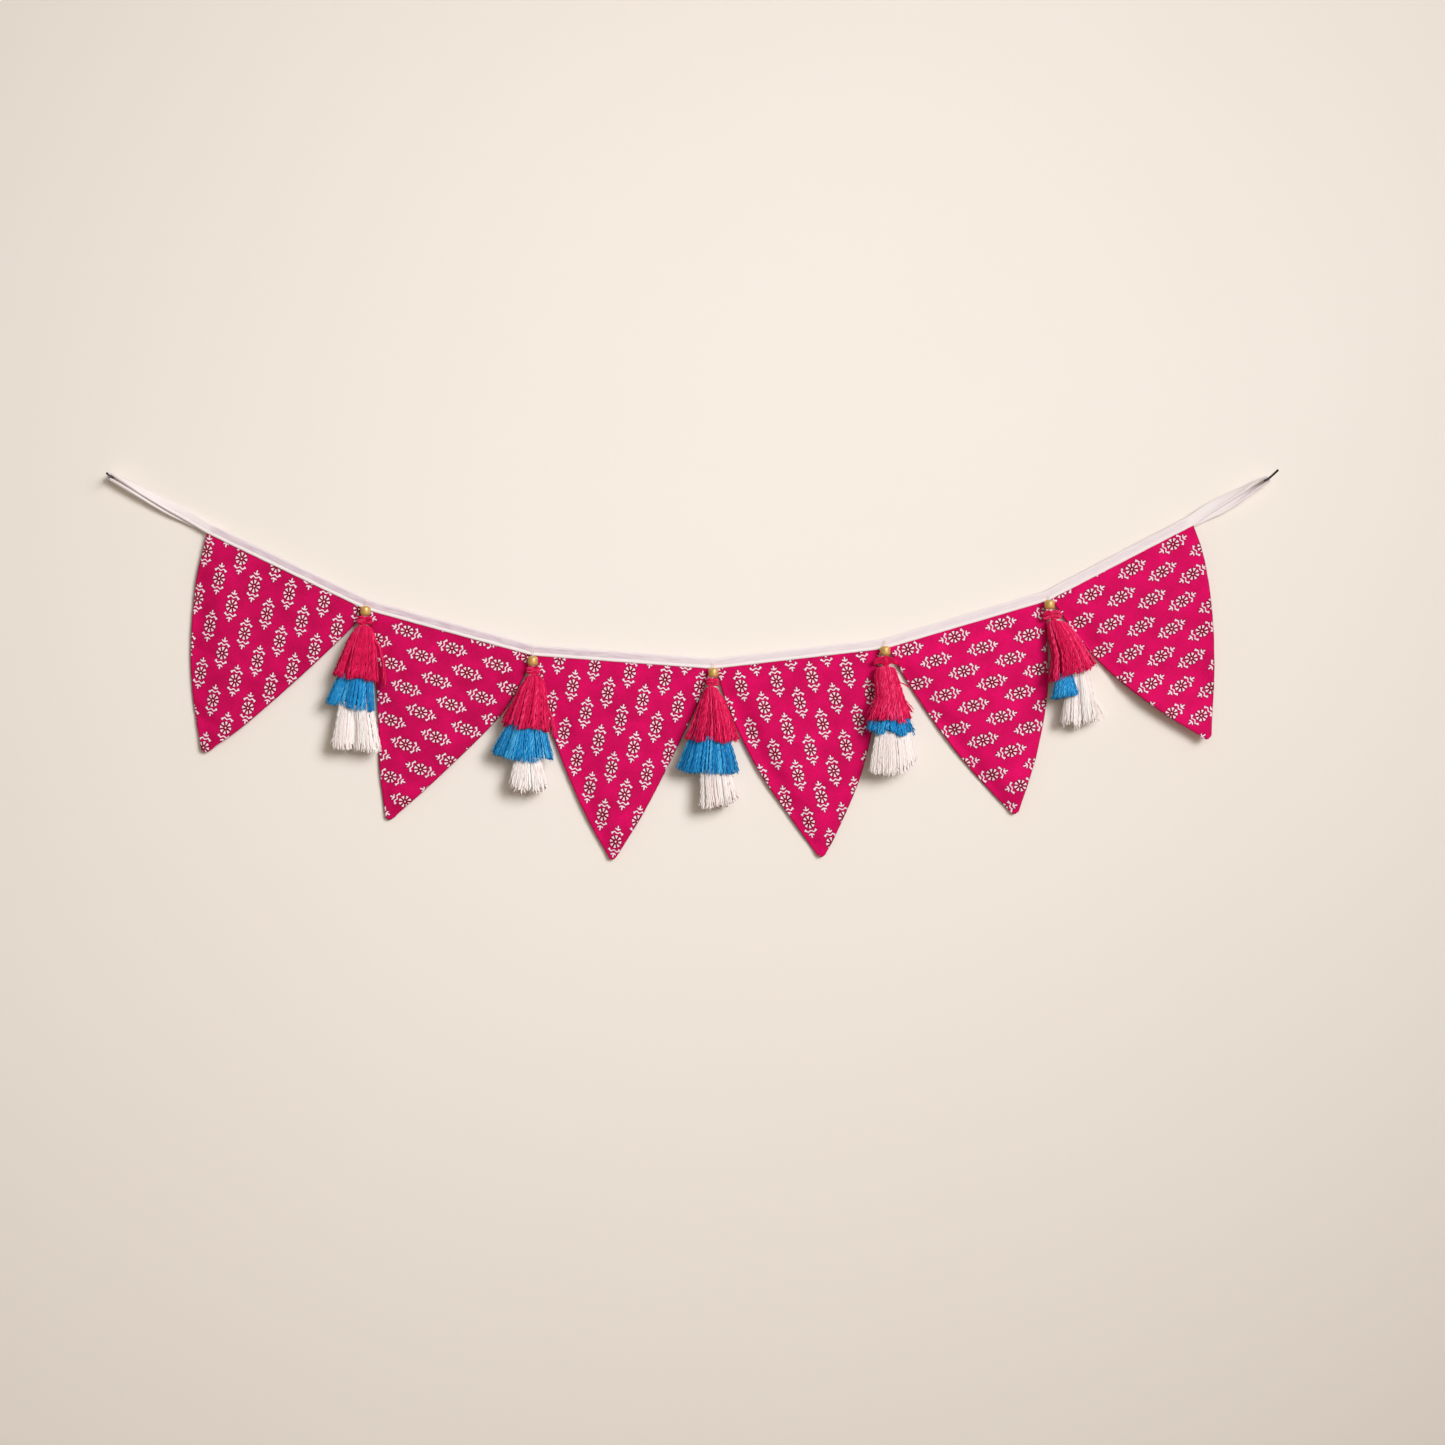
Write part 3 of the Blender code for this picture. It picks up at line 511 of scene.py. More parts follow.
def block_print(tree, place):
    """How much white paste and dark ink lie on the cloth: a half-drop repeat of one motif."""
    # the wooden block and the cloth's give move each edge by about 0.2 mm
    give = add(tree, "TexNoise", {"Vector": place, "Scale": 0.4, "Detail": 2.0})
    shift = add(tree, "VectorMath MULTIPLY_ADD", (give.outputs[1], (0.6, 0.6, 0.0), (-0.3, -0.3, 0.0)))
    spot = add(tree, "VectorMath ADD", (place, shift))
    split = add(tree, "SeparateXYZ", (spot,))
    # every second row is moved by half a repeat along the print
    rows = add(tree, "Math DIVIDE", (split.outputs[1], PRINT_ACROSS))
    row = add(tree, "Math ROUND", (rows,))
    v = add(tree, "Math MULTIPLY_ADD", (row, -PRINT_ACROSS, split.outputs[1]))
    dropped = add(tree, "Math MULTIPLY_ADD", (row, PRINT_ALONG, split.outputs[0]))
    u = add(tree, "Math WRAP", (dropped, PRINT_ALONG, -PRINT_ALONG))
    # the motif is the same in its four quarters
    au, av = (add(tree, "Math ABSOLUTE", (way,)) for way in (u, v))
    motif = add(tree, "CombineXYZ", (av, au))
    wheel, disc = wheel_marks(tree, u, v)
    bracket = bracket_marks(tree, motif, au, av)
    bud = bud_marks(tree, motif, au, av)
    ends = add(tree, "Math MINIMUM", (bracket, bud))
    white = add(tree, "Math MINIMUM", (wheel, ends))
    white_ink = add(tree, "Math MULTIPLY_ADD", (white, -5.0, 0.1), use_clamp=True)
    # the dark block outlines all that is white, and fills the wheel between its wedges
    outline = add(tree, "Math SUBTRACT", (white, OUTLINE))
    dark = add(tree, "Math MINIMUM", (outline, disc))
    dark_ink = add(tree, "Math MULTIPLY_ADD", (dark, -3.0, 0.5), use_clamp=True)
    return white_ink, dark_ink


def wheel_marks(tree, u, v):
    """Distances in mm to the print's wheel, eight rounded wedges round a dot, and to the disc it lies on."""
    # the wheel is a little longer along the print than across it
    flat_u = add(tree, "Math MULTIPLY", (u, 0.93))
    out = add(tree, "CombineXYZ", (flat_u, v))
    r = add(tree, "VectorMath LENGTH", (out,)).outputs["Value"]
    angle = add(tree, "Math ARCTAN2", (v, flat_u))
    turned_back = add(tree, "Math WRAP", (angle, math.pi / 8, -math.pi / 8))
    lean = add(tree, "Math SINE", (turned_back,))
    aside = add(tree, "Math ABSOLUTE", (lean,))
    narrow = add(tree, "Math SUBTRACT", (aside, math.sin(math.pi / 8)))
    wedge = add(tree, "Math MULTIPLY_ADD", (r, narrow, WHEEL_HALF_GAP))
    disc = add(tree, "Math SUBTRACT", (r, WHEEL_RIM))
    inner = add(tree, "Math SUBTRACT", (WHEEL_HUB, r))
    within = add(tree, "Math MAXIMUM", (disc, inner))
    cut = add(tree, "Math SMOOTH_MAX", (wedge, within, 0.4))
    dot = add(tree, "Math SUBTRACT", (r, WHEEL_DOT))
    return add(tree, "Math MINIMUM", (cut, dot)), disc


def inside_of(tree, motif, lines):
    """Distance in mm to the area inside straight lines, each an outward direction and its reach."""
    area = None
    for across, along, reach in lines:
        out = add(tree, "VectorMath DOT_PRODUCT", (motif, (across, along, 0.0)))
        side = add(tree, "Math SUBTRACT", (out.outputs["Value"], reach))
        area = add(tree, "Math MAXIMUM", (area, side)) if area else side
    return area


def bracket_marks(tree, motif, au, av):
    """Distance in mm to the waved bracket at each end of the wheel, which ends in a fin at both sides."""
    phase = add(tree, "Math MULTIPLY", (av, 2 * math.pi / BRACKET_WAVE))
    wave = add(tree, "Math COSINE", (phase,))
    line = add(tree, "Math MULTIPLY_ADD", (wave, -BRACKET_SWAY, BRACKET_AT))
    off = add(tree, "Math SUBTRACT", (au, line))
    gap = add(tree, "Math ABSOLUTE", (off,))
    stroke = add(tree, "Math SUBTRACT", (gap, BRACKET_HALF_STROKE))
    # the fin has its corners at (5.9, 7.5), (4.1, 5.5) and (3.1, 7.3), across and along
    foot = inside_of(tree, motif, [(-0.874, -0.485, -6.3)])
    ends = inside_of(tree, motif, [(0.5, 0.866, 9.4), (0.743, -0.669, -0.7)])
    joined = add(tree, "Math SMOOTH_MIN", (stroke, foot, 0.5))
    return add(tree, "Math SMOOTH_MAX", (joined, ends, 0.4))


def bud_marks(tree, motif, au, av):
    """Distance in mm to the bud beyond each bracket: a petal on a stem, rising from a bowl-shaped leaf."""
    above = add(tree, "Math SUBTRACT", (au, BUD_AT))
    stem_y = add(tree, "Math ABSOLUTE", (above,))
    stem_end = add(tree, "Math SUBTRACT", (stem_y, PETAL_HALF_LENGTH))
    beyond = add(tree, "Math MAXIMUM", (stem_end, 0.0))
    round_end = add(tree, "CombineXYZ", (av, beyond))
    away = add(tree, "VectorMath LENGTH", (round_end,))
    petal = add(tree, "Math SUBTRACT", (away.outputs["Value"], PETAL_HALF_WIDTH))
    drawn_up = add(tree, "VectorMath MULTIPLY_ADD", (motif, (1.0, 1.25, 0.0), (0.0, -15.0, 0.0)))
    off = add(tree, "VectorMath LENGTH", (drawn_up,))
    bowl = add(tree, "Math SUBTRACT", (off.outputs["Value"], LEAF_RADIUS))
    rim = inside_of(tree, motif, [(-0.29, 0.957, 10.7)])
    leaf = add(tree, "Math SMOOTH_MAX", (bowl, rim, 0.3))
    return add(tree, "Math SMOOTH_MIN", (petal, leaf, 0.4))


def bias_tape_cotton():
    """Thin white cotton bias tape: a bright rolled hem, and above it the magenta shows faintly through."""
    made, tree, shader = blank_material("white_cotton_bias_tape")
    place = add(tree, "UVMap", uv_map="tape")
    split = add(tree, "SeparateXYZ", (place,))
    # show-through starts above the hem's third layer and fades toward the fold
    hem = add(tree, "MapRange", (split.outputs[1], 1.9, 3.9, 0.0, 1.0), interpolation_type="SMOOTHSTEP")
    fold = add(tree, "MapRange", (split.outputs[1], 6.2, 9.0, 1.0, 0.3), interpolation_type="SMOOTHSTEP")
    band = add(tree, "Math MULTIPLY", (hem, fold))
    over_cloth = add(tree, "Attribute", attribute_name="over_cloth")
    covers = add(tree, "Math MULTIPLY", (band, over_cloth.outputs["Fac"]))
    # it comes and goes in streaks along the tape, where the layers touch
    drawn_out = add(tree, "Mapping", {0: place, "Scale": (0.07, 0.55, 1.0)})
    patches = add(tree, "TexNoise", {"Vector": drawn_out, "Scale": 1.0, "Detail": 4.0})
    uneven = add(tree, "MapRange", (patches, 0.35, 0.65, 0.5, 1.0))
    through = add(tree, "Math MULTIPLY", (covers, uneven))
    tint = add(tree, "Mix", {0: through, 6: "#F3EAEC", 7: "#CBB2C2"}, data_type="RGBA")
    # bias weave runs at 45 degrees; threads of 0.3 mm are drawn at 0.7 mm
    warp = add(tree, "TexWave", {"Vector": place, "Scale": 0.3, "Distortion": 0.8, "Detail": 1.0},
               bands_direction="DIAGONAL")
    slubs = add(tree, "TexNoise", {"Vector": place, "Scale": 1.2, "Detail": 2.0})
    relief = add(tree, "Math ADD", (warp.outputs[1], slubs))
    bump = add(tree, "Bump", {"Strength": 0.2, "Distance": 0.00012, "Height": relief})
    feed(shader, {
        "Base Color": tint.outputs[2],
        "Normal": bump,
        "Roughness": 0.85,
        "Specular IOR Level": 0.25,
        "Sheen Weight": 0.15,
    })
    return made


def cotton_floss(name, deep, middle, bright, fuzz):
    """Mercerised cotton floss: matt strands with a faint sheen, each dyed a little differently."""
    made, tree, shader = blank_material(name)
    strand = add(tree, "Attribute", attribute_name="shade")
    place = add(tree, "TexCoord")
    # the dye's own unevenness, in patches of about 3 mm
    tone_shift = add(tree, "TexNoise", {"Vector": place.outputs["Object"], "Scale": 330.0})
    level = add(tree, "Math MULTIPLY_ADD", (tone_shift, 0.3, -0.15))
    shade = add(tree, "Math ADD", (strand.outputs["Fac"], level), use_clamp=True)
    ramp = add(tree, "ValToRGB", (shade,))
    ramp.color_ramp.elements[0].color = hex_colour(deep)
    ramp.color_ramp.elements[1].color = hex_colour(bright)
    ramp.color_ramp.elements.new(0.55).color = hex_colour(middle)
    feed(shader, {
        "Base Color": ramp,
        "Roughness": 0.75,
        "Specular IOR Level": 0.2,
        "Sheen Weight": fuzz,
        "Sheen Roughness": 0.5,
        "Sheen Tint": bright,
    })
    return made


def gold_lacquered_wood():
    """Turned wood under gold lacquer: a soft glow, fine turning lines and one sharp highlight."""
    made, tree, shader = blank_material("gold_lacquered_wood")
    place = add(tree, "TexCoord")
    # turning lines some 0.6 mm apart, drawn out round the bead
    stretched = add(tree, "Mapping", {0: place.outputs["Object"], "Scale": (300.0, 300.0, 1600.0)})
    grain = add(tree, "TexNoise", {"Vector": stretched, "Scale": 1.0, "Detail": 3.0})
    tone = add(tree, "Mix", {0: grain, 6: "#B88A3A", 7: "#E8BE72"}, data_type="RGBA")
    bump = add(tree, "Bump", {"Strength": 0.2, "Distance": 0.00008, "Height": grain})
    feed(shader, {
        "Base Color": tone.outputs[2],
        "Normal": bump,
        "Metallic": 0.25,
        "Roughness": 0.4,
        "Coat Weight": 0.4,
        "Coat Roughness": 0.12,
    })
    return made


def blued_steel():
    """Blued steel wire nail: near-black and smooth, browner where the blueing has rubbed off."""
    made, tree, shader = blank_material("blued_steel_nail")
    place = add(tree, "TexCoord")
    wear = add(tree, "TexNoise", {"Vector": place.outputs["Object"], "Scale": 600.0, "Detail": 4.0})
    tone = add(tree, "Mix", {0: wear, 6: "#16171A", 7: "#3A3330"}, data_type="RGBA")
    rough = add(tree, "MapRange", (wear, 0.3, 0.7, 0.32, 0.5))
    feed(shader, {"Base Color": tone.outputs[2], "Roughness": rough, "Metallic": 0.8})
    return made


def wall_plaster():
    """Matt cream plaster, seen from its front only, so that the toran's back can be looked at."""
    made, tree, shader = blank_material("cream_plaster")
    place = add(tree, "TexCoord")
    cloud = add(tree, "TexNoise", {"Vector": place.outputs["Object"], "Scale": 3.0, "Detail": 3.0})
    tone = add(tree, "Mix", {0: cloud, 6: "#F2EAE3", 7: "#F5EDE7"}, data_type="RGBA")
    feed(shader, {"Base Color": tone.outputs[2], "Roughness": 0.95, "Specular IOR Level": 0.1})
    clear = add(tree, "BsdfTransparent")
    side = add(tree, "NewGeometry")
    choice = add(tree, "MixShader", (side.outputs["Backfacing"], shader, clear))
    feed(tree.nodes["Material Output"], {"Surface": choice})
    return made


def floor_paint():
    """Pale floor paint, plain and matt."""
    made, _, shader = blank_material("pale_floor")
    feed(shader, {"Base Color": "#E9E2D8", "Roughness": 0.9})
    return made


# Camera, lights and backdrop

def stand(name, data, place, turn):
    """An object that holds the camera or a lamp."""
    obj = bpy.data.objects.new(name, data)
    obj.location = place
    obj.rotation_euler = turn
    bpy.context.scene.collection.objects.link(obj)
    return obj


def set_camera():
    """Straight at the wall from 2.6 m, framed as the photograph is."""
    data = bpy.data.cameras.new("camera")
    data.sensor_width = 36.0
    data.sensor_fit = "HORIZONTAL"
    data.lens = 74.3
    camera = stand("camera", data, (0.0291, -2.6, -0.2123), (math.radians(90), 0, 0))
    bpy.context.scene.camera = camera


def add_lamp(name, place, target, size, power, spread):
    """A square soft white light at place that faces target, its beam this many degrees wide."""
    data = bpy.data.lights.new(name, "AREA")
    data.shape = "SQUARE"
    data.size = size
    data.energy = power
    data.spread = math.radians(spread)
    stand(name, data, place, (Vector(target) - Vector(place)).to_track_quat("-Z", "Y").to_euler())


def set_lights():
    """A wide key from the right, a weak lamp by the camera, and a pale, warmer room."""
    add_lamp("key", (2.1, -3.6, 1.2), (-0.03, 0.0, -0.06), size=2.2, power=14.4, spread=40)
    add_lamp("front", (0.2, -2.6, 0.6), (0.0, 0.0, 0.1), size=1.4, power=1.05, spread=60)
    world = bpy.data.worlds.new("room")
    world.use_nodes = True
    feed(world.node_tree.nodes["Background"], {"Color": "#FFF4DC", "Strength": 0.27})
    bpy.context.scene.world = world
    bpy.context.scene.view_settings.view_transform = "Standard"


def add_backdrop():
    """The wall just behind the toran, and the floor far below it."""
    planes = [
        # name, width and height, tilt, middle, finish
        ("wall", (6.0, 4.6), 90, (0.0, 0.0003, 0.4), wall_plaster()),
        ("floor", (6.0, 6.0), 0, (0.0, -3.0, -1.9), floor_paint()),
    ]
    for name, size, tilt, middle, finish in planes:
        deselect()
        bpy.ops.mesh.primitive_plane_add(size=1.0, location=middle, rotation=(math.radians(tilt), 0, 0))
        plane = bpy.context.object
        plane.name = name
        plane.scale = (*size, 1.0)
        bpy.ops.object.transform_apply(location=True, rotation=True, scale=True)
        plane.data.materials.append(finish)


# Making pieces

def deselect():
    """Object mode with nothing selected."""
    if bpy.context.mode != "OBJECT":
        bpy.ops.object.mode_set(mode="OBJECT")
    bpy.ops.object.select_all(action="DESELECT")


def apply_all(obj):
    """Applies the object's modifiers in order."""
    deselect()
    obj.select_set(True)
    bpy.context.view_layer.objects.active = obj
    for modifier in list(obj.modifiers):
        bpy.ops.object.modifier_apply(modifier=modifier.name)


def read(items, name):
    """A direction or place of every item of a mesh, one row each."""
    values = np.zeros(len(items) * 3, np.float32)
    items.foreach_get(name, values)
    return values.reshape(-1, 3).astype(float)


def mark(mesh, name, values):
    """Stores a value with each vertex, for the materials."""
    marks = mesh.attributes.new(name, "FLOAT", "POINT")
    marks.data.foreach_set("value", np.ravel(values).astype(np.float32))


def grid_piece(name, points):
    """A grid primitive whose corners are moved onto points in mm, shape (rows, columns, 3)."""
    rows, columns, _ = points.shape
    deselect()
    bpy.ops.mesh.primitive_grid_add(x_subdivisions=columns - 1, y_subdivisions=rows - 1, size=1.0)
    obj = bpy.context.object
    obj.name = name
    obj.data.name = name
    obj.data.vertices.foreach_set("co", (points * MM).reshape(-1).astype(np.float32))
    obj.data.update()
    return obj


def mesh_piece(name, verts, faces, shades):
    """Many small threads as one mesh, with each thread's shade. Sculpting so many by hand isn't workable."""
    mesh = bpy.data.meshes.new(name)
    mesh.from_pydata((verts * MM).tolist(), [], faces)
    mark(mesh, "shade", shades)
    mesh.shade_smooth()
    obj = bpy.data.objects.new(name, mesh)
    bpy.context.scene.collection.objects.link(obj)
    return obj


def finish_piece(obj, finish, slot, *nodes):
    """Gives a piece its material and hides the solids that it stands for. Its slot is not used."""
    obj.data.materials.clear()
    obj.data.materials.append(finish)
    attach(obj, "root")
    if nodes:
        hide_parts(*nodes)


def unit(vectors):
    """The same directions, each of length 1."""
    return vectors / np.maximum(np.linalg.norm(vectors, axis=-1, keepdims=True), 1e-9)


def extended(points):
    """The points with one more past each end, so that a smooth curve also fits its end stretches."""
    spots = np.array(points, float)
    return np.vstack([spots[0] * 2 - spots[1], spots, spots[-1] * 2 - spots[-2]])


def between(before, start, end, after, t):
    """Share t of the way from start to end, on the smooth curve through all four."""
    return 0.5 * (
        2 * start
        + (end - before) * t
        + (2 * before - 5 * start + 4 * end - after) * t**2
        + (3 * start - before - 3 * end + after) * t**3
    )


def at_shares(points, shares):
    """Places at these shares of the way along a smooth curve through points."""
    padded = extended(points)
    spans = np.linalg.norm(np.diff(padded[1:-1], axis=0), axis=1)
    ends = np.cumsum(spans)
    made = []
    for share in shares:
        along = min(max(share, 0.0), 1.0) * ends[-1]
        index = min(int(np.searchsorted(ends, along)), len(spans) - 1)
        made.append(between(*padded[index:index + 4], (along - (ends[index] - spans[index])) / spans[index]))
    return np.array(made)


def tube_faces(rings, sides, base=0):
    """The faces of a closed tube of rings, whose first vertex has the number base."""
    faces = []
    for low in range(base, base + (rings - 1) * sides, sides):
        for side in range(sides):
            after = (side + 1) % sides
            faces.append((low + side, low + after, low + sides + after, low + sides + side))
    last = base + (rings - 1) * sides
    faces.append(tuple(range(base + sides - 1, base - 1, -1)))
    faces.append(tuple(range(last, last + sides)))
    return faces


def sweep(paths, radii, sides, reference):
    """Round threads along paths, shape (threads, points, 3), as vertices and faces with closed ends."""
    count, length, _ = paths.shape
    tangents = unit(np.gradient(paths, axis=1))
    across = unit(np.cross(tangents, reference))
    other = np.cross(tangents, across)
    angles = (np.arange(sides) * 2 * math.pi / sides)[:, None]
    ring = across[:, :, None] * np.cos(angles) + other[:, :, None] * np.sin(angles)
    verts = (paths[:, :, None] + ring * radii[:, None, None]).reshape(-1, 3)
    faces = []
    for thread in range(count):
        faces += tube_faces(length, sides, thread * length * sides)
    return verts, faces


def thread_part(paths, radius, shade, sides=3, reference=(0.2, 1.0, 0.0), taper=0.8):
    """Threads as vertices, faces and shades, thin at their ends. A thread's shade is whole or by point."""
    count, length, _ = paths.shape
    profile = np.interp(np.linspace(0, 1, length), [0, 0.12, 0.92, 1], [taper, 1, 1, (taper + 1) / 2])
    verts, faces = sweep(paths, radius * profile, sides, reference)
    shades = np.broadcast_to(shade.reshape(count, -1), (count, length))
    return verts, faces, np.repeat(shades.reshape(-1), sides)


def gather(parts):
    """Joins parts, each its vertices, faces and shades, into one."""
    faces = []
    start = 0
    for verts, part_faces, _ in parts:
        faces += [tuple(i + start for i in face) for face in part_faces]
        start += len(verts)
    return np.concatenate([part[0] for part in parts]), faces, np.concatenate([part[2] for part in parts])


# Pennants

def fold_height(name, x, z):
    """How far the cloth stands toward the viewer at (x, z) by its folds and creases, in mm."""
    total = np.zeros_like(x)
    for x_0, z_0, x_1, z_1, half_width, height in FOLDS[name]:
        run_x, run_z = x_1 - x_0, z_1 - z_0
        share = np.clip(((x - x_0) * run_x + (z - z_0) * run_z) / (run_x**2 + run_z**2), 0, 1)
        away = np.hypot(x - x_0 - run_x * share, z - z_0 - run_z * share) / half_width
        total += height * np.exp(-away * away)
    return total


def cloth_ripple(x, z, seed):
    """The small unevenness of hung cotton, in mm: soft swells 34 mm wide with finer ones on them."""
    def swell(x, z):
        return 0.5 * noise.noise((x / 34, z / 34, seed)) + 0.13 * noise.noise((x / 9, z / 9, seed + 7))
    return np.vectorize(swell)(x, z)


def column_shares(width):
    """Where the columns lie across a row this wide: close together at both seams."""
    near = SEAM_LINES * min(1.0, width / 16)
    middle = np.linspace(near[-1], width - near[-1], COLUMNS)[1:-1]
    return np.concatenate([near, middle, width - near[::-1]]) / width


def flat_cloth(name, up_tape):
    """A pennant laid flat: (x, z) of each point in its outline, its distance to a seam, its share down."""
    near_tip = 1 - SEAM_LINES[::-1] / PENNANT_DEPTH
    shares = np.concatenate([[0.0], np.linspace(0, near_tip[0], ROWS)[:-1], near_tip])
    left, right = (at_shares(PENNANTS[name][side], shares) for side in ("left", "right"))
    rows, seams = [], []
    for step, share in enumerate(shares):
        width = np.linalg.norm(right[step] - left[step])
        across = column_shares(width)
        line = left[step] + (right[step] - left[step]) * across[:, None]
        line[:, 1] -= TIP_BOW * share**5 * np.sin(math.pi * across)
        if step == 0:
            line = line + up_tape * TUCK
        rows.append(line)
        seams.append(np.minimum(np.minimum(across, 1 - across) * width, (1 - share) * PENNANT_DEPTH))
    return np.array(rows), np.array(seams), shares[:, None]


def pennant(name, index, finish):
    """One pennant: two cloths sewn along their sides and turned out, with folds and puckered seams."""
    run = unit(np.array(JOINTS[index + 1]) - JOINTS[index])
    up_tape = np.array([-run[1], run[0]])
    flat, seam, share = flat_cloth(name, up_tape)
    # folds start below the tape, which holds the cloth flat
    below = np.maximum(-(flat - PENNANTS[name]["left"][0]) @ up_tape, 0)
    eased = np.minimum(below / FOLD_RAMP, 1.0)
    pucker = cloth_ripple(flat[..., 0] * 2.6, flat[..., 1] * 2.6, 40 + index) * np.exp(-seam / PUCKER_REACH)
    x = flat[..., 0] + pucker * 0.4
    z = flat[..., 1] + pucker * 0.3
    # four layers of cloth lie inside the seam as far as its allowance reaches
    allowance = 0.16 / (1 + np.exp((seam - SEAM_ALLOWANCE) / 0.5))
    height = fold_height(name, x, z) + cloth_ripple(x, z, index) + pucker * 0.6 + allowance
    y = TAPE_Y + (TIP_TOWARD_WALL * share - height) * eased
    obj = grid_piece(name + "_cloth", np.stack([x, y, z], axis=-1))
    thicken(obj, seam)
    lay_print(obj, name)
    finish_piece(obj, finish, "pennant_cloth", name)
    return obj


def thicken(obj, seam):
    """Two cloths' thickness, drawn together at the seams."""
    # the rim mark sets the painted shade along the seams: strongest at a seam, gone about 1 mm in
    mark(obj.data, "rim", np.clip(0.1 + seam / 1.1, 0, 1))
    round_off = np.clip(seam / 1.3, 0, 1)
    full = 0.06 + 0.94 * np.sqrt(1 - (1 - round_off) ** 2)
    group = obj.vertex_groups.new(name="two_cloths")
    for vertex, weight in enumerate(full.reshape(-1)):
        group.add([vertex], float(weight), "REPLACE")
    solid = obj.modifiers.new("two_cloths", "SOLIDIFY")
    solid.thickness = CLOTH * MM
    solid.offset = 0.0
    solid.vertex_group = "two_cloths"
    apply_all(obj)
    obj.vertex_groups.clear()
    obj.data.shade_smooth()


def lay_print(obj, name):
    """Lays the print on both cloths as a UV map in millimetres along and across the print."""
    lay = PRINT_LAY[name]
    mesh = obj.data
    # how much brighter or deeper this pennant is drawn
    mark(mesh, "pennant_tone", np.full(len(mesh.vertices), lay["tone_shift"]))
    angles = np.radians([lay["along"], lay["across"]])
    to_print = np.linalg.inv(np.stack([np.cos(angles), np.sin(angles)], axis=1))
    corners = [loop.vertex_index for loop in mesh.loops]
    faces_back = read(mesh.polygons, "normal")[:, 1] > 0
    on_back = np.repeat(faces_back, [len(face.vertices) for face in mesh.polygons])
    spots = read(mesh.vertices, "co")[corners][:, [0, 2]] / MM
    origins = np.array(lay["wheel"]) + BACK_CLOTH_SHIFT * on_back[:, None]
    layer = mesh.uv_layers.new(name="print")
    layer.data.foreach_set("uv", ((spots - origins) @ to_print).reshape(-1).astype(np.float32))


# Heading tape

def along_rows(rows):
    """A smooth run through (x, z, y, twist) rows, a point about every RUN_STEP."""
    padded = extended(rows)
    made = []
    for index in range(len(rows) - 1):
        four = padded[index:index + 4]
        steps = max(int(round(np.linalg.norm((four[2] - four[1])[:3]) / RUN_STEP)), 1)
        made += [between(*four, step / steps) for step in range(steps)]
    return np.array(made + [padded[-2]])


def departure_angle(centre, point, below):
    """The angle round the nail where a straight run from point touches the tape's seat on it."""
    away = np.array([point[0] - centre[0], point[1] - centre[1]])
    swing = math.acos(min(1.0, NAIL_SEAT / np.linalg.norm(away)))
    turn = swing if below == (away[0] < 0) else -swing
    return math.atan2(away[1], away[0]) + turn


def loop_run(side):
    """(x, z, y, twist) rows along an end loop, from left to right along the strip."""
    order = ("back", "front") if side == "left" else ("front", "back")
    arriving, leaving = (along_rows(LOOPS[side][part]) for part in order)
    centre = NAILS[side]
    start = departure_angle(centre, arriving[-1], side == "left")
    end = departure_angle(centre, leaving[0], side != "left")
    if end > start:
        end -= 2 * math.pi
    share = np.linspace(0, 1, 14)
    angle = start + (end - start) * share
    arc = np.stack([
        centre[0] + NAIL_SEAT * np.cos(angle),
        centre[1] + NAIL_SEAT * np.sin(angle),
        arriving[-1][2] + (leaving[0][2] - arriving[-1][2]) * share,
        np.full(len(share), 90.0),
    ], axis=1)
    return np.vstack([arriving, arc, leaving])


def turned(tangents, twist):
    """The tape's width direction and outer normal along a run."""
    angle = np.radians(twist)[:, None]
    outward = np.stack([-tangents[:, 2], np.zeros(len(tangents)), tangents[:, 0]], axis=1)
    normals = np.array([[0.0, -1.0, 0.0]]) * np.cos(angle) + outward * np.sin(angle)
    return unit(np.cross(normals, tangents)), normals


def heading_run():
    """Centres and frames along the heading, softened at each joint."""
    spots = np.array([(x, 0.0, z) for x, z in JOINTS])
    spans = unit(np.diff(spots, axis=0))
    last = len(spans) - 1
    places, tangents = [], []
    for index, (start, end) in enumerate(zip(spots, spots[1:])):
        length = np.linalg.norm(end - start)
        steps = int(round(length / RUN_STEP))
        for step in range(steps + (index == last)):
            along = length * step / steps
            here = spans[index]
            if along < JOINT_BEND and index > 0:
                here = here + spans[index - 1] * (1 - along / JOINT_BEND) ** 2
            if length - along < JOINT_BEND and index < last:
                here = here + spans[index + 1] * (1 - (length - along) / JOINT_BEND) ** 2
            places.append(start + (end - start) * step / steps)
            tangents.append(here)
    ways, normals = turned(unit(np.array(tangents)), np.zeros(len(places)))
    return np.array(places) + ways * TAPE_WIDTH / 2 + np.array([0, TAPE_Y, 0]), ways, normals


def tape_run():
    """Centres, width directions, normals, cover share and running length along the whole strip."""
    parts = []
    for side in ("left", "right"):
        rows = loop_run(side)
        places = rows[:, [0, 2, 1]]
        slopes = np.gradient(places, axis=0)
        slopes[:, 1] = 0.0
        parts.append((places, *turned(unit(slopes), rows[:, 3]), np.zeros(len(places))))
    places, ways, normals = heading_run()
    from_end = np.minimum(np.arange(len(places)), np.arange(len(places))[::-1]) * RUN_STEP
    parts.insert(1, (places, ways, normals, np.clip(from_end / JOINT_BEND, 0, 1)))
    places, ways, normals, cover = (np.concatenate([part[i] for part in parts]) for i in range(4))
    steps = np.linalg.norm(np.diff(places, axis=0), axis=1)
    return places, ways, normals, cover, np.concatenate([[0.0], np.cumsum(steps)])


def half_slot(cover):
    """Half the gap between the tape's two layers: wide over a pennant, closed in the loops."""
    return (SLOT_IN_LOOPS + (SLOT_ON_PENNANTS - SLOT_IN_LOOPS) * cover) / 2


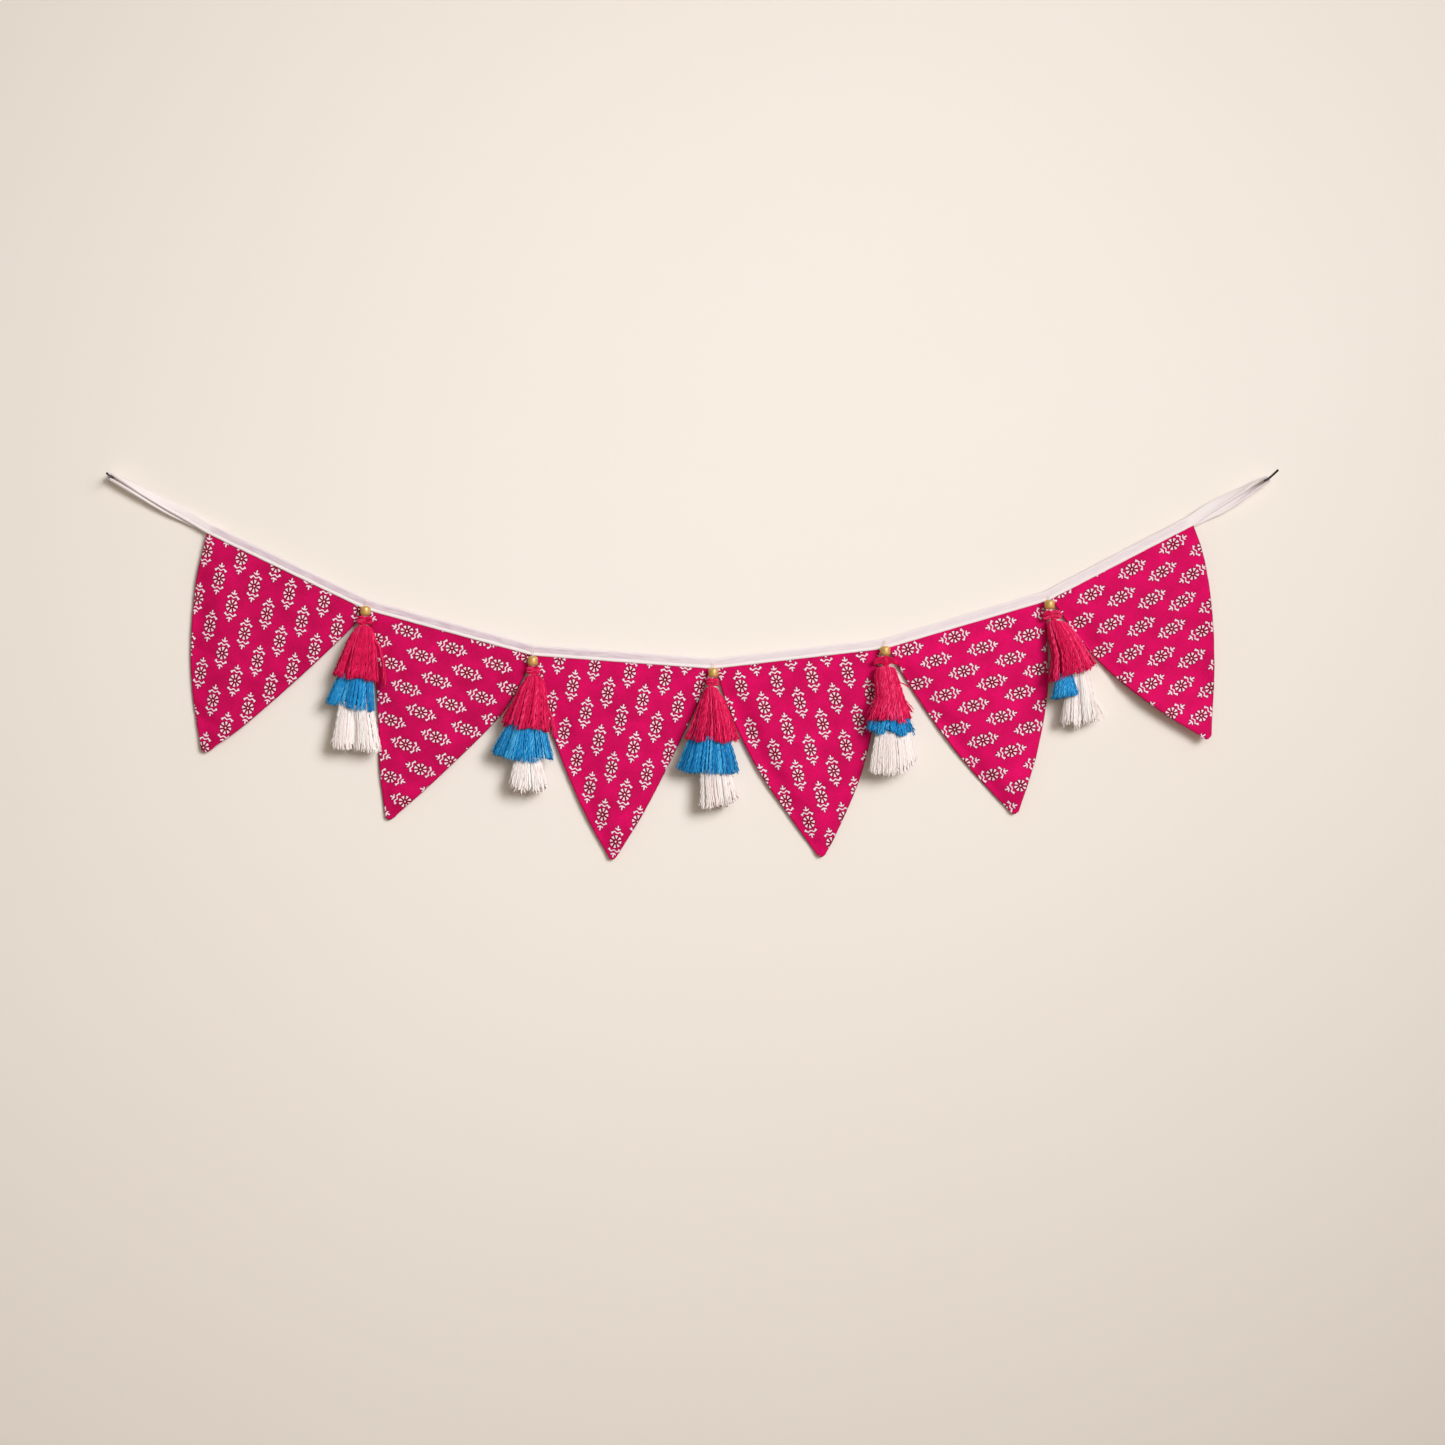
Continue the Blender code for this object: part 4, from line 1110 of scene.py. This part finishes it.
def tape_section():
    """The section's points as (height above the lower edge, lift, side 1 front or -1 back, part)."""
    front = [(height, lift, 1.0, "outer") for height, lift in TAPE_PROFILE]
    back = [(height, lift, -1.0, "outer") for height, lift in reversed(TAPE_PROFILE)]
    turns = [math.pi * step / 6 for step in range(1, 6)]
    foot = TAPE_WIDTH - FOLD_RISE
    fold = [(foot + FOLD_RISE * math.sin(angle), math.cos(angle), 1.0, "fold") for angle in turns]
    slot = ((0.0, -1.0), (SLOT_DEPTH, -1.0), (SLOT_DEPTH, 1.0), (0.0, 1.0))
    inside = [(height, 0.0, side, "inner") for height, side in slot]
    return front + fold + back + inside


def tape_ripple(length, height, cover, side):
    """How the tape's flat part rises and falls between the hem and the fold, in mm."""
    if height < HEM_TOP:
        return 0.07 * noise.noise((length / 3.0, side * 5, 3.0))
    slow = noise.noise((length / 16, height / 9, side * 3.0))
    quick = noise.noise((length / 5.5 + height / 6, height / 7, side * 8.0))
    return (0.26 * slow + 0.16 * quick) * (1.2 - 0.5 * cover)


def tape_ring(section, length, cover):
    """The section here along the tape: how far each point lies up from the middle, and out."""
    wider = 0.28 * noise.noise((length / 21, 1.5, 0.0)) + 0.12 * noise.noise((length / 6, 4.5, 0.0))
    edge = 0.12 * noise.noise((length / 7, 9.5, 0.0))
    slot = half_slot(cover)
    ring = []
    for height, lift, side, part in section:
        up = height + wider * height / TAPE_WIDTH + edge * (height < 3) - TAPE_WIDTH / 2
        if part == "outer":
            out = side * (slot + lift + tape_ripple(length, height, cover, side))
        elif part == "fold":
            out = (slot + 0.6) * lift
        else:
            out = side * slot
        ring.append((up, out))
    return ring + ring[:1]


def heading_tape(run, finish):
    """The bias tape: folded over the pennants, edge-stitched, and looped round a nail at each end."""
    section = tape_section()
    rings = []
    for place, way, normal, cover, length in zip(*run):
        rings.append([place + way * up + normal * out for up, out in tape_ring(section, length, cover)])
    obj = grid_piece("heading_tape_cloth", np.array(rings))
    mark_tape(obj, section, run[4], run[3])
    bpy.ops.object.mode_set(mode="EDIT")
    bpy.ops.mesh.select_all(action="SELECT")
    bpy.ops.mesh.remove_doubles(threshold=0.000002)
    bpy.ops.mesh.select_all(action="DESELECT")
    bpy.ops.mesh.select_non_manifold(extend=False, use_boundary=True, use_wire=False,
                                     use_multi_face=False, use_non_contiguous=False, use_verts=False)
    bpy.ops.mesh.edge_face_add()
    bpy.ops.mesh.select_all(action="SELECT")
    bpy.ops.mesh.normals_make_consistent(inside=False)
    bpy.ops.object.mode_set(mode="OBJECT")
    obj.data.shade_smooth()
    obj.data.set_sharp_from_angle(angle=math.radians(70))
    finish_piece(obj, finish, "tape", "heading_tape")
    return obj


def mark_tape(obj, section, lengths, cover):
    """The tape's UV map in millimetres along and across, and where the tape covers a pennant."""
    count = len(section) + 1
    heights = [row[0] for row in section] + [section[0][0]]
    layer = obj.data.uv_layers.new(name="tape")
    for loop in obj.data.loops:
        ring, step = divmod(loop.vertex_index, count)
        layer.data[loop.index].uv = (lengths[ring], heights[step])
    # the tint is stronger over the left pennants than over the right ones
    along = np.arange(len(cover)) / len(cover)
    close = np.interp(along, [0, 0.2, 0.42, 0.55, 1], [0.5, 0.85, 0.9, 0.4, 0.3])
    mark(obj.data, "over_cloth", np.repeat(cover * close, count))


def stitches(run, finish):
    """A row of machine stitches just above the hem, front and back."""
    places, ways, normals, cover, lengths = run
    ends_clear = 4.0
    starts = np.arange(ends_clear, lengths[-1] - ends_clear, STITCH_PITCH)
    bow = np.array([0.0, 0.16, 0.2, 0.16, 0.0]) + 0.42
    at = starts[:, None] + np.linspace(0, STITCH_LENGTH, len(bow))
    place, way, normal = (
        np.stack([np.interp(at, lengths, column) for column in values.T], axis=-1)
        for values in (places, ways, normals)
    )
    out = (half_slot(np.interp(at, lengths, cover)) + bow)[:, :, None]
    line = place + way * (STITCH_HEIGHT - TAPE_WIDTH / 2)
    paths = np.concatenate([line + normal * out, line - normal * out])
    verts, faces = sweep(paths, np.full(len(bow), STITCH_RADIUS), 4, (0.1, -1.0, 0.2))
    obj = mesh_piece("heading_tape_stitches", verts, faces, np.full(len(verts), 0.8))
    finish_piece(obj, finish, "tape")
    return obj


# Beads

def select_where(obj, kind, wanted):
    """Edit mode with only the wanted edges or faces selected."""
    bpy.ops.object.mode_set(mode="EDIT")
    bpy.ops.mesh.select_mode(type=kind)
    bpy.ops.mesh.select_all(action="DESELECT")
    bpy.ops.object.mode_set(mode="OBJECT")
    for item in obj.data.edges if kind == "EDGE" else obj.data.polygons:
        item.select = wanted(item)
    bpy.ops.object.mode_set(mode="EDIT")


def bead_barrel():
    """A turned barrel at the origin: a cylinder with its rims rounded off and a bore sunk into both ends."""
    deselect()
    radius, height = BEAD_RADIUS * MM, 2 * BEAD_HALF_HEIGHT * MM
    bpy.ops.mesh.primitive_cylinder_add(vertices=32, radius=radius, depth=height, end_fill_type="NGON")
    obj = bpy.context.object
    heights = [vertex.co.z for vertex in obj.data.vertices]
    select_where(obj, "EDGE", lambda edge: abs(heights[edge.vertices[0]] - heights[edge.vertices[1]]) < 1e-6)
    bpy.ops.mesh.bevel(offset=BEAD_ROUNDING * MM, segments=6, profile=0.45, affect="EDGES")
    select_where(obj, "FACE", lambda face: abs(face.normal.z) > 0.999 and len(face.vertices) > 8)
    bpy.ops.mesh.inset(thickness=(BEAD_RADIUS - BEAD_ROUNDING - BEAD_BORE) * MM)
    bpy.ops.mesh.inset(thickness=0.12 * MM, depth=-0.35 * MM)
    bpy.ops.mesh.inset(thickness=0.02 * MM, depth=-2.4 * MM)
    bpy.ops.object.mode_set(mode="OBJECT")
    obj.data.shade_smooth()
    obj.data.set_sharp_from_angle(angle=math.radians(50))
    return obj


def bead(number, barrel, finish):
    """One bead: a copy of the barrel where its solid is."""
    low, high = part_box(f"bead_{number}")
    obj = bpy.data.objects.new(f"bead_{number}_barrel", barrel.data.copy())
    obj.data.transform(Matrix.Translation((low + high) / 2))
    bpy.context.scene.collection.objects.link(obj)
    finish_piece(obj, finish, "bead", f"bead_{number}")


# Tassels

def tier_row(tassel, colour):
    """The tier's sizes in mm, its own or the usual ones."""
    row = {**ANY_TIER, **TIER_DEFAULTS[colour], **TASSELS[tassel][colour]}
    if colour == "magenta":
        neck_x, neck_z = TASSELS[tassel]["neck"]
        row["head"] = (neck_x, neck_z - TASSELS[tassel].get("neck_drop", NECK_DROP))
        row["top"] = (neck_x, BEAD_Y, neck_z)
    else:
        row["top"] = (row["head"][0], row["head_y"], row["head"][1] + 3.0)
    return row


def skirt(row, cosine, sine, along, drop):
    """Where floss lies on the tier: by its place round the skirt and its share of the length."""
    eased = along**FLARE
    (head_x, head_z), (left, left_z), (right, right_z) = row["head"], row["hem_left"], row["hem_right"]
    if "left_side" in row:
        left_x = np.interp(along, *np.transpose(row["left_side"]))
        right_x = np.interp(along, *np.transpose(row["right_side"]))
    else:
        middle_x = head_x + ((left + right) / 2 - head_x) * along
        half_width = row["head_width"] + ((right - left) / 2 - row["head_width"]) * eased
        left_x, right_x = middle_x - half_width, middle_x + half_width
    share = (cosine + 1) / 2
    at, gap = row["part"]
    gap = gap / (right - left)
    left_part = share * (at - gap / 2) / at
    right_part = at + gap / 2 + (share - at) * (1 - at - gap / 2) / (1 - at)
    share = share + (np.where(share < at, left_part, right_part) - share) * along
    hem_z = left_z + (right_z - left_z) * share - drop - np.interp(share, *np.transpose(row["hem"]))
    groove = row["groove"] * np.exp(-((cosine + 1 - 2 * at) / 0.2) ** 2) * np.minimum(2 * along, 1)
    half_depth = row["head_depth"] + (row["hem_depth"] - row["head_depth"]) * eased
    y = row["head_y"] + (row["hem_y"] - row["head_y"]) * eased
    y = y + half_depth * sine - groove * np.minimum(sine, 0)
    return np.stack([left_x + (right_x - left_x) * share, y, head_z + (hem_z - head_z) * along], axis=-1)


def floss_strands(row, habit, chance):
    """The tier's strands: over a rounded shoulder, then down in locks, waved by the floss's old twist."""
    count, locks = habit["strands"], habit["locks"]
    lock = chance.integers(0, locks, count)
    lock_angle = (np.arange(locks) + habit["uneven"] * chance.uniform(-1, 1, locks)) * 2 * math.pi / locks
    offset = chance.uniform(-1, 1, count)
    near = chance.random(count) < AT_SURFACE
    depth = np.where(near, chance.uniform(0, 0.1, count), chance.uniform(0.1, 0.55, count))
    along = np.linspace(0, 1, habit["steps"])[None, :]
    spread = (habit["spread"] - habit["gather"] * along**1.3) * math.pi / locks
    drift = chance.normal(0, 0.12, count)[:, None] * along
    theta = lock_angle[lock][:, None] + (offset[:, None] + drift) * spread
    reach = 1 - depth[:, None] - habit["valley"] * np.minimum(1.8 * along, 1) * offset[:, None] ** 2
    drop = chance.normal(0, 0.8, locks)[lock] - habit["point"] * offset**2
    drop = drop + chance.normal(0, habit["jitter"], count)
    paths = skirt(row, reach * np.cos(theta), reach * np.sin(theta), along, drop[:, None])
    length = row["head"][1] - row["hem_left"][1]
    turn = 2 * math.pi * along * length / habit["wave"] * chance.uniform(0.8, 1.25, (count, 1))
    phase = (chance.uniform(0, 2 * math.pi, locks)[lock] + chance.normal(0, 1.0, count))[:, None]
    swing = habit["crimp"] * chance.uniform(0.5, 1.4, (count, 1)) * np.minimum(along * 5, 1)
    lock_sway = chance.uniform(-1, 1, locks)[lock][:, None]
    sway = lock_sway * np.sin(chance.uniform(0, 6, locks)[lock][:, None] + along * 4)
    curl = chance.normal(0, 0.9, (2, count, 1)) * along**8
    paths[:, :, 0] += swing * np.sin(turn + phase) + 0.8 * sway * along + curl[0]
    paths[:, :, 1] += swing * 0.6 * np.cos(turn + phase) + curl[1]
    paths = np.concatenate([shoulder(row, paths[:, :1], theta[:, 0], 1 - depth), paths], axis=1)
    shade = 0.52 + row["tone_offset"] + chance.uniform(-0.12, 0.12, locks)[lock] + chance.normal(0, 0.2, count)
    # painted highlight: each strand lightens and darkens along its length with the turns of its twist
    shade = shade[:, None] + 0.08 * np.sin(np.linspace(0, 17, paths.shape[1])[None, :] + phase)
    return thread_part(paths, habit["radius"], np.clip(shade, 0.03, 1), taper=0.45)


def shoulder(row, starts, theta, reach):
    """The bend of each strand from the tied neck over to where it starts down the skirt."""
    top = np.array(row["top"])
    out = [1.9 * reach * np.cos(theta), 1.7 * reach * np.sin(theta), 0 * theta]
    neck = (top + np.stack(out, axis=-1))[:, None]
    bend = starts * np.array([1.0, 1.0, 0.0]) + np.array([0.0, 0.0, top[2] - 1.0])
    t = np.array([0.0, 0.35, 0.7])[None, :, None]
    return (1 - t) ** 2 * neck + 2 * t * (1 - t) * bend + t**2 * starts


def flyaways(row, chance, count=12):
    """Loose hairs that stand off the skirt's sides."""
    side = np.where(chance.random(count) < 0.5, -1.0, 1.0)
    theta = (np.where(side > 0, 0.0, math.pi) + chance.uniform(-0.6, 0.6, count))[:, None]
    along = np.array([0.15, 0.4, 0.62, 0.8, 0.93, 1.02])[None, :]
    drop = chance.uniform(-6, 2, (count, 1))
    paths = skirt(row, 0.95 * np.cos(theta), 0.95 * np.sin(theta), along, drop)
    reach = chance.uniform(0.6, 2.6, (count, 1))
    curl = chance.uniform(0, 2 * math.pi, (count, 1))
    paths[:, :, 0] += side[:, None] * reach * (along - 0.15) ** 1.5 * (1 + 0.5 * np.sin(curl + along * 7))
    paths[:, :, 1] += 0.5 * reach * np.sin(curl + along * 5) * along
    return thread_part(paths, FLYAWAY_RADIUS, chance.uniform(0.35, 0.9, count))


def frayed_ends(row, chance, count=34):
    """Fine fibres that curl out of the cut ends below the hem."""
    theta = chance.uniform(0, 2 * math.pi, count)[:, None]
    reach = chance.uniform(0.5, 1.0, (count, 1))
    step = np.linspace(0, 1, 5)[None, :]
    along = chance.uniform(0.86, 0.97, (count, 1)) + 0.09 * step
    paths = skirt(row, reach * np.cos(theta), reach * np.sin(theta), along, 0.0)
    curl = chance.uniform(0, 2 * math.pi, (count, 1))
    wide = chance.uniform(0.4, 1.8, (count, 1))
    paths[:, :, 0] += wide * np.sin(curl + step * 4) * step
    paths[:, :, 1] += wide * 0.6 * np.cos(curl + step * 4) * step
    return thread_part(paths, FRAY_RADIUS, chance.uniform(0.4, 0.95, count))


def soften_normals(obj, row, share, roundness):
    """Floss shades as one soft mass: each strand's normals lean toward the tier's own."""
    mesh = obj.data
    x, y, z = read(mesh.vertices, "co").T / MM
    own = read(mesh.vertex_normals, "vector")
    top_x, top_y, top_z = row["top"]
    hem_x, hem_z = (np.array(row["hem_left"]) + row["hem_right"]) / 2
    down = np.clip((top_z - z) / (top_z - hem_z), 0, 1)
    axis_x = top_x + (hem_x - top_x) * down
    axis_y = top_y + (row["hem_y"] - top_y) * down
    away = unit(np.stack([(x - axis_x) * roundness, (y - axis_y) * 2.0, np.full(len(x), 2.0)], axis=1))
    # only what faces outward leans, so that floss seen through a gap keeps its own shading
    outward = np.clip(1.5 * (own * away).sum(axis=1) + 0.5, 0, 1)
    lean = (share * outward * (z < top_z))[:, None]
    mesh.normals_split_custom_set_from_vertices(unit(own * (1 - lean) + away * lean).tolist())


def loose_part(row, strands, half_width, points, radius, chance):
    """A lock that hangs clear of its tier along a few points, thin at its end."""
    step = np.linspace(0, 1, 14)
    line = at_shares(points, step)
    depth = (row["head_y"] + row["hem_y"]) / 2
    shift = chance.uniform(-1, 1, (strands, 1))
    turn = chance.uniform(0, 2 * math.pi, (strands, 1)) + step * chance.uniform(12, 24, (strands, 1))
    stop = chance.uniform(0.8, 1.0, (strands, 1))
    x = line[:, 0] + shift * (0.6 + (half_width - 0.6) * step) + 0.3 * np.sin(turn)
    y = depth + 1.6 * shift[::-1] + 0.3 * np.cos(turn)
    z = line[0, 1] + (line[:, 1] - line[0, 1]) * stop
    paths = np.stack([x, y, z], axis=-1)
    return thread_part(paths, radius, chance.uniform(0.25, 0.85, strands), taper=0.6)


def core_part(row, shade, reach):
    """The heart of the tier, which shows only between the locks."""
    # its one shade is painted: deep as painted shade between coloured locks, bright as painted light in
    # white floss
    sides = 24
    turn = np.arange(sides) * 2 * math.pi / sides
    rings = [np.array(row["top"]) + np.stack([1.3 * np.cos(turn), 1.1 * np.sin(turn), 0 * turn], axis=-1)]
    for level in (0.0, 0.2, 0.45, 0.7, 0.9):
        rings.append(skirt(row, reach * np.cos(turn), reach * np.sin(turn), level, 0.0))
    # the rings run downward, so the faces are turned round
    faces = [face[::-1] for face in tube_faces(len(rings), sides)]
    return np.concatenate(rings), faces, np.full(len(rings) * sides, shade)


def wrap_part(centre, radius, height, turns, chance):
    """Thread wound round an upright neck: rings close above one another, none quite level."""
    steps = np.linspace(0, 2 * math.pi, 22)
    paths = []
    for level in np.linspace(-height / 2, height / 2, turns):
        lean = chance.uniform(-0.12, 0.12)
        x = radius * chance.uniform(0.94, 1.04) * np.cos(steps)
        paths.append(centre + np.stack([x, radius * np.sin(steps), level + lean * x], axis=-1))
    shade = chance.uniform(0.35, 0.75, turns)
    return thread_part(np.array(paths), WRAP_RADIUS, shade, sides=6, reference=(0.0, 0.0, 1.0), taper=1.0)


def waist_part(centre, half_depth, half_height, width, turns, chance):
    """The floss that binds a knot's waist: rings side by side, upright."""
    steps = np.linspace(0, 2 * math.pi, 20)
    paths = []
    for place in np.linspace(-width / 2, width / 2, turns):
        lean = chance.uniform(-0.25, 0.1)
        bulge = 1 - 0.25 * (2 * place / width) ** 2
        y = half_depth * bulge * np.cos(steps)
        z = half_height * np.sin(steps)
        paths.append(centre + np.stack([place + lean * z, y, bulge * z], axis=-1))
    shade = chance.uniform(0.45, 0.85, turns)
    return thread_part(np.array(paths), WAIST_RADIUS, shade, sides=6, reference=(1.0, 0.0, 0.0), taper=1.0)


def lobe_part(centre, ends, half, height, depth, strands, chance, droop):
    """One lobe of a knot: strands between its two ends, full in the middle, lower away from the knot."""
    steps = np.linspace(0.03 * math.pi, 0.97 * math.pi, 13)
    out = ends[0] + (ends[1] - ends[0]) * (0.5 - 0.5 * np.cos(steps))
    paths = []
    for strand in range(strands):
        round_lobe = 2 * math.pi * strand / strands + chance.uniform(-0.1, 0.1)
        fat = np.sin(steps) ** 0.6 * chance.uniform(0.86, 1.04)
        fat = fat * (1 + 0.06 * np.sin(2 * steps + strand * 1.7))
        z = height / 2 * fat * np.sin(round_lobe) - droop * (out / half) ** 2
        paths.append(centre + np.stack([out, -depth * fat * np.cos(round_lobe), z], axis=-1))
    shade = chance.uniform(0.3, 0.9, strands)
    return thread_part(np.array(paths), LOBE_RADIUS, shade, sides=5, reference=(0.05, 0.6, 0.8))


def egg_part(centre, half_width, half_depth, half_height, shade):
    """A plain rounded lump inside a knot."""
    sides, levels = 14, 8
    turn = (np.arange(sides) * 2 * math.pi / sides)[None, :]
    angle = (math.pi * (np.arange(levels) + 0.4) / (levels - 0.2) - math.pi / 2)[:, None]
    out, up = np.cos(angle), np.sin(angle)
    ball = np.stack([out * np.cos(turn), out * np.sin(turn), up + 0 * turn], axis=-1)
    verts = (centre + ball * (half_width, half_depth, half_height)).reshape(-1, 3)
    return verts, tube_faces(levels, sides), np.full(len(verts), shade)


def knot_parts(tassel, chance):
    """The knot between the bead and the neck: two lobes drawn in at a bound waist, and the wound neck."""
    row = TASSELS[tassel]
    bead_x, bead_z = row["bead"]
    neck_x, neck_z = row["neck"]
    top = bead_z - BEAD_HALF_HEIGHT
    height = top - neck_z - 1.0
    centre = np.array([bead_x * 0.6 + neck_x * 0.4, BEAD_Y, top - height / 2 - 0.2])
    half, droop = row["knot_half_width"], row["knot_droop"]
    if "knot_is_arch" in row:
        centre[2] = top - 3.2
        parts = [
            lobe_part(centre, (-half, half), half, 5.2, 3.0, 15, chance, droop),
            waist_part(centre + np.array([0.4, 0.0, -0.9]), 3.6, 3.0, 2.4, 5, chance),
            egg_part(centre + np.array([0.0, 0.0, -2.8]), half * 0.5, 2.4, 2.4, 0.4),
        ]
    else:
        reach = half * row.get("left_lobe", 1.0)
        fall = droop * row.get("left_lobe_droop", 1.0)
        parts = [
            egg_part(centre, half * 0.7, 2.2, height * 0.33, 0.2),
            lobe_part(centre, (0.0, -reach), half, height * 0.94, 3.1, 18, chance, fall),
            lobe_part(centre, (0.0, half), half, height * 0.94, 3.1, 18, chance, droop),
            waist_part(centre + np.array([0.0, 0.0, -0.3]), 3.0, height * 0.34, 2.2, 4, chance),
        ]
    neck = np.array([neck_x, BEAD_Y, neck_z])
    parts.append(egg_part(neck + np.array([0.0, 0.0, 1.0]), 1.9, 1.9, 2.4, 0.3))
    parts.append(wrap_part(neck, 2.2, 1.9, 4, chance))
    return parts


def tie_part(tassel, row):
    """The thread that ties this tier under the head of the tier above."""
    above = tier_row(tassel, row["tied_under"])
    start = np.array([above["head"][0] + row["tied_at"], above["head_y"], above["head"][1] - 0.3])
    return thread_part(np.linspace(start, row["top"], 5)[None], TIE_RADIUS, np.array([0.5]), sides=8)


def tassel_tier(tassel, colour, finish, seed):
    """One tier of floss with its binding, and under the bead also its knot and thread."""
    chance = np.random.default_rng(seed)
    row = tier_row(tassel, colour)
    habit = FLOSS[colour]
    parts = [
        core_part(row, habit["core"], habit["heart"]),
        floss_strands(row, habit, chance),
        flyaways(row, chance),
        frayed_ends(row, chance),
    ]
    for name, tier, count, half_width, points in LOOSE:
        if (name, tier) == (tassel, colour):
            parts.append(loose_part(row, count, half_width, points, habit["radius"] * 0.8, chance))
    if colour == "magenta":
        parts += knot_parts(tassel, chance)
    else:
        parts.append(tie_part(tassel, row))
    obj = mesh_piece(f"{tassel}_{colour}_floss", *gather(parts))
    soften_normals(obj, row, habit["soft"], habit["round"])
    finish_piece(obj, finish, f"floss_{colour}", f"{tassel}_{colour}")


def hanging_threads(finish):
    """The thin doubled thread that ties each tassel to the tape, down through its bead."""
    paths = []
    for row in TASSELS.values():
        bead_x, bead_z = row["bead"]
        top = bead_z + BEAD_HALF_HEIGHT
        for side in (-1.0, 1.0):
            paths.append([(bead_x + side * x, y, top + over) for x, y, over in BEAD_THREAD])
    threads = thread_part(np.array(paths), BEAD_THREAD_RADIUS, np.full(len(paths), 0.25), sides=6)
    obj = mesh_piece("hanging_threads", *threads)
    finish_piece(obj, finish, "floss_white")


# The whole toran

def dress_nails(frame, finish):
    """The nails keep their solids and get their steel."""
    for side in NAILS:
        node = frame["nodes"][f"nail_{side}"]
        node.data.materials.clear()
        node.data.materials.append(finish)


def make_cloth():
    """The tape with its stitches and the six pennants."""
    tape_finish = bias_tape_cotton()
    run = tape_run()
    tape = heading_tape(run, tape_finish)
    seam = stitches(run, tape_finish)
    cotton = printed_cotton()
    for index, name in enumerate(PENNANTS):
        cloth = pennant(name, index, cotton)


def make_tassels():
    """The five beads and the fifteen tiers of floss."""
    wood = gold_lacquered_wood()
    floss = {
        "magenta": cotton_floss("magenta_cotton_floss", "#AC003C", "#E60A54", "#FF4A86", 0.1),
        "blue": cotton_floss("blue_cotton_floss", "#0C60A6", "#1E96DA", "#62C4F4", 0.1),
        "white": cotton_floss("white_cotton_floss", "#FAE4E2", "#FFF3F1", "#FFFEFD", 0.9),
    }
    barrel = bead_barrel()
    for index, tassel in enumerate(TASSELS, start=1):
        bead(index, barrel, wood)
        for step, colour in enumerate(floss):
            tassel_tier(tassel, colour, floss[colour], seed=10 * index + step)
    bpy.data.meshes.remove(barrel.data)
    hanging_threads(floss["white"])


def main():
    """Dresses the whole toran."""
    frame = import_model()
    set_camera()
    set_lights()
    add_backdrop()
    make_cloth()
    make_tassels()
    dress_nails(frame, blued_steel())


main()
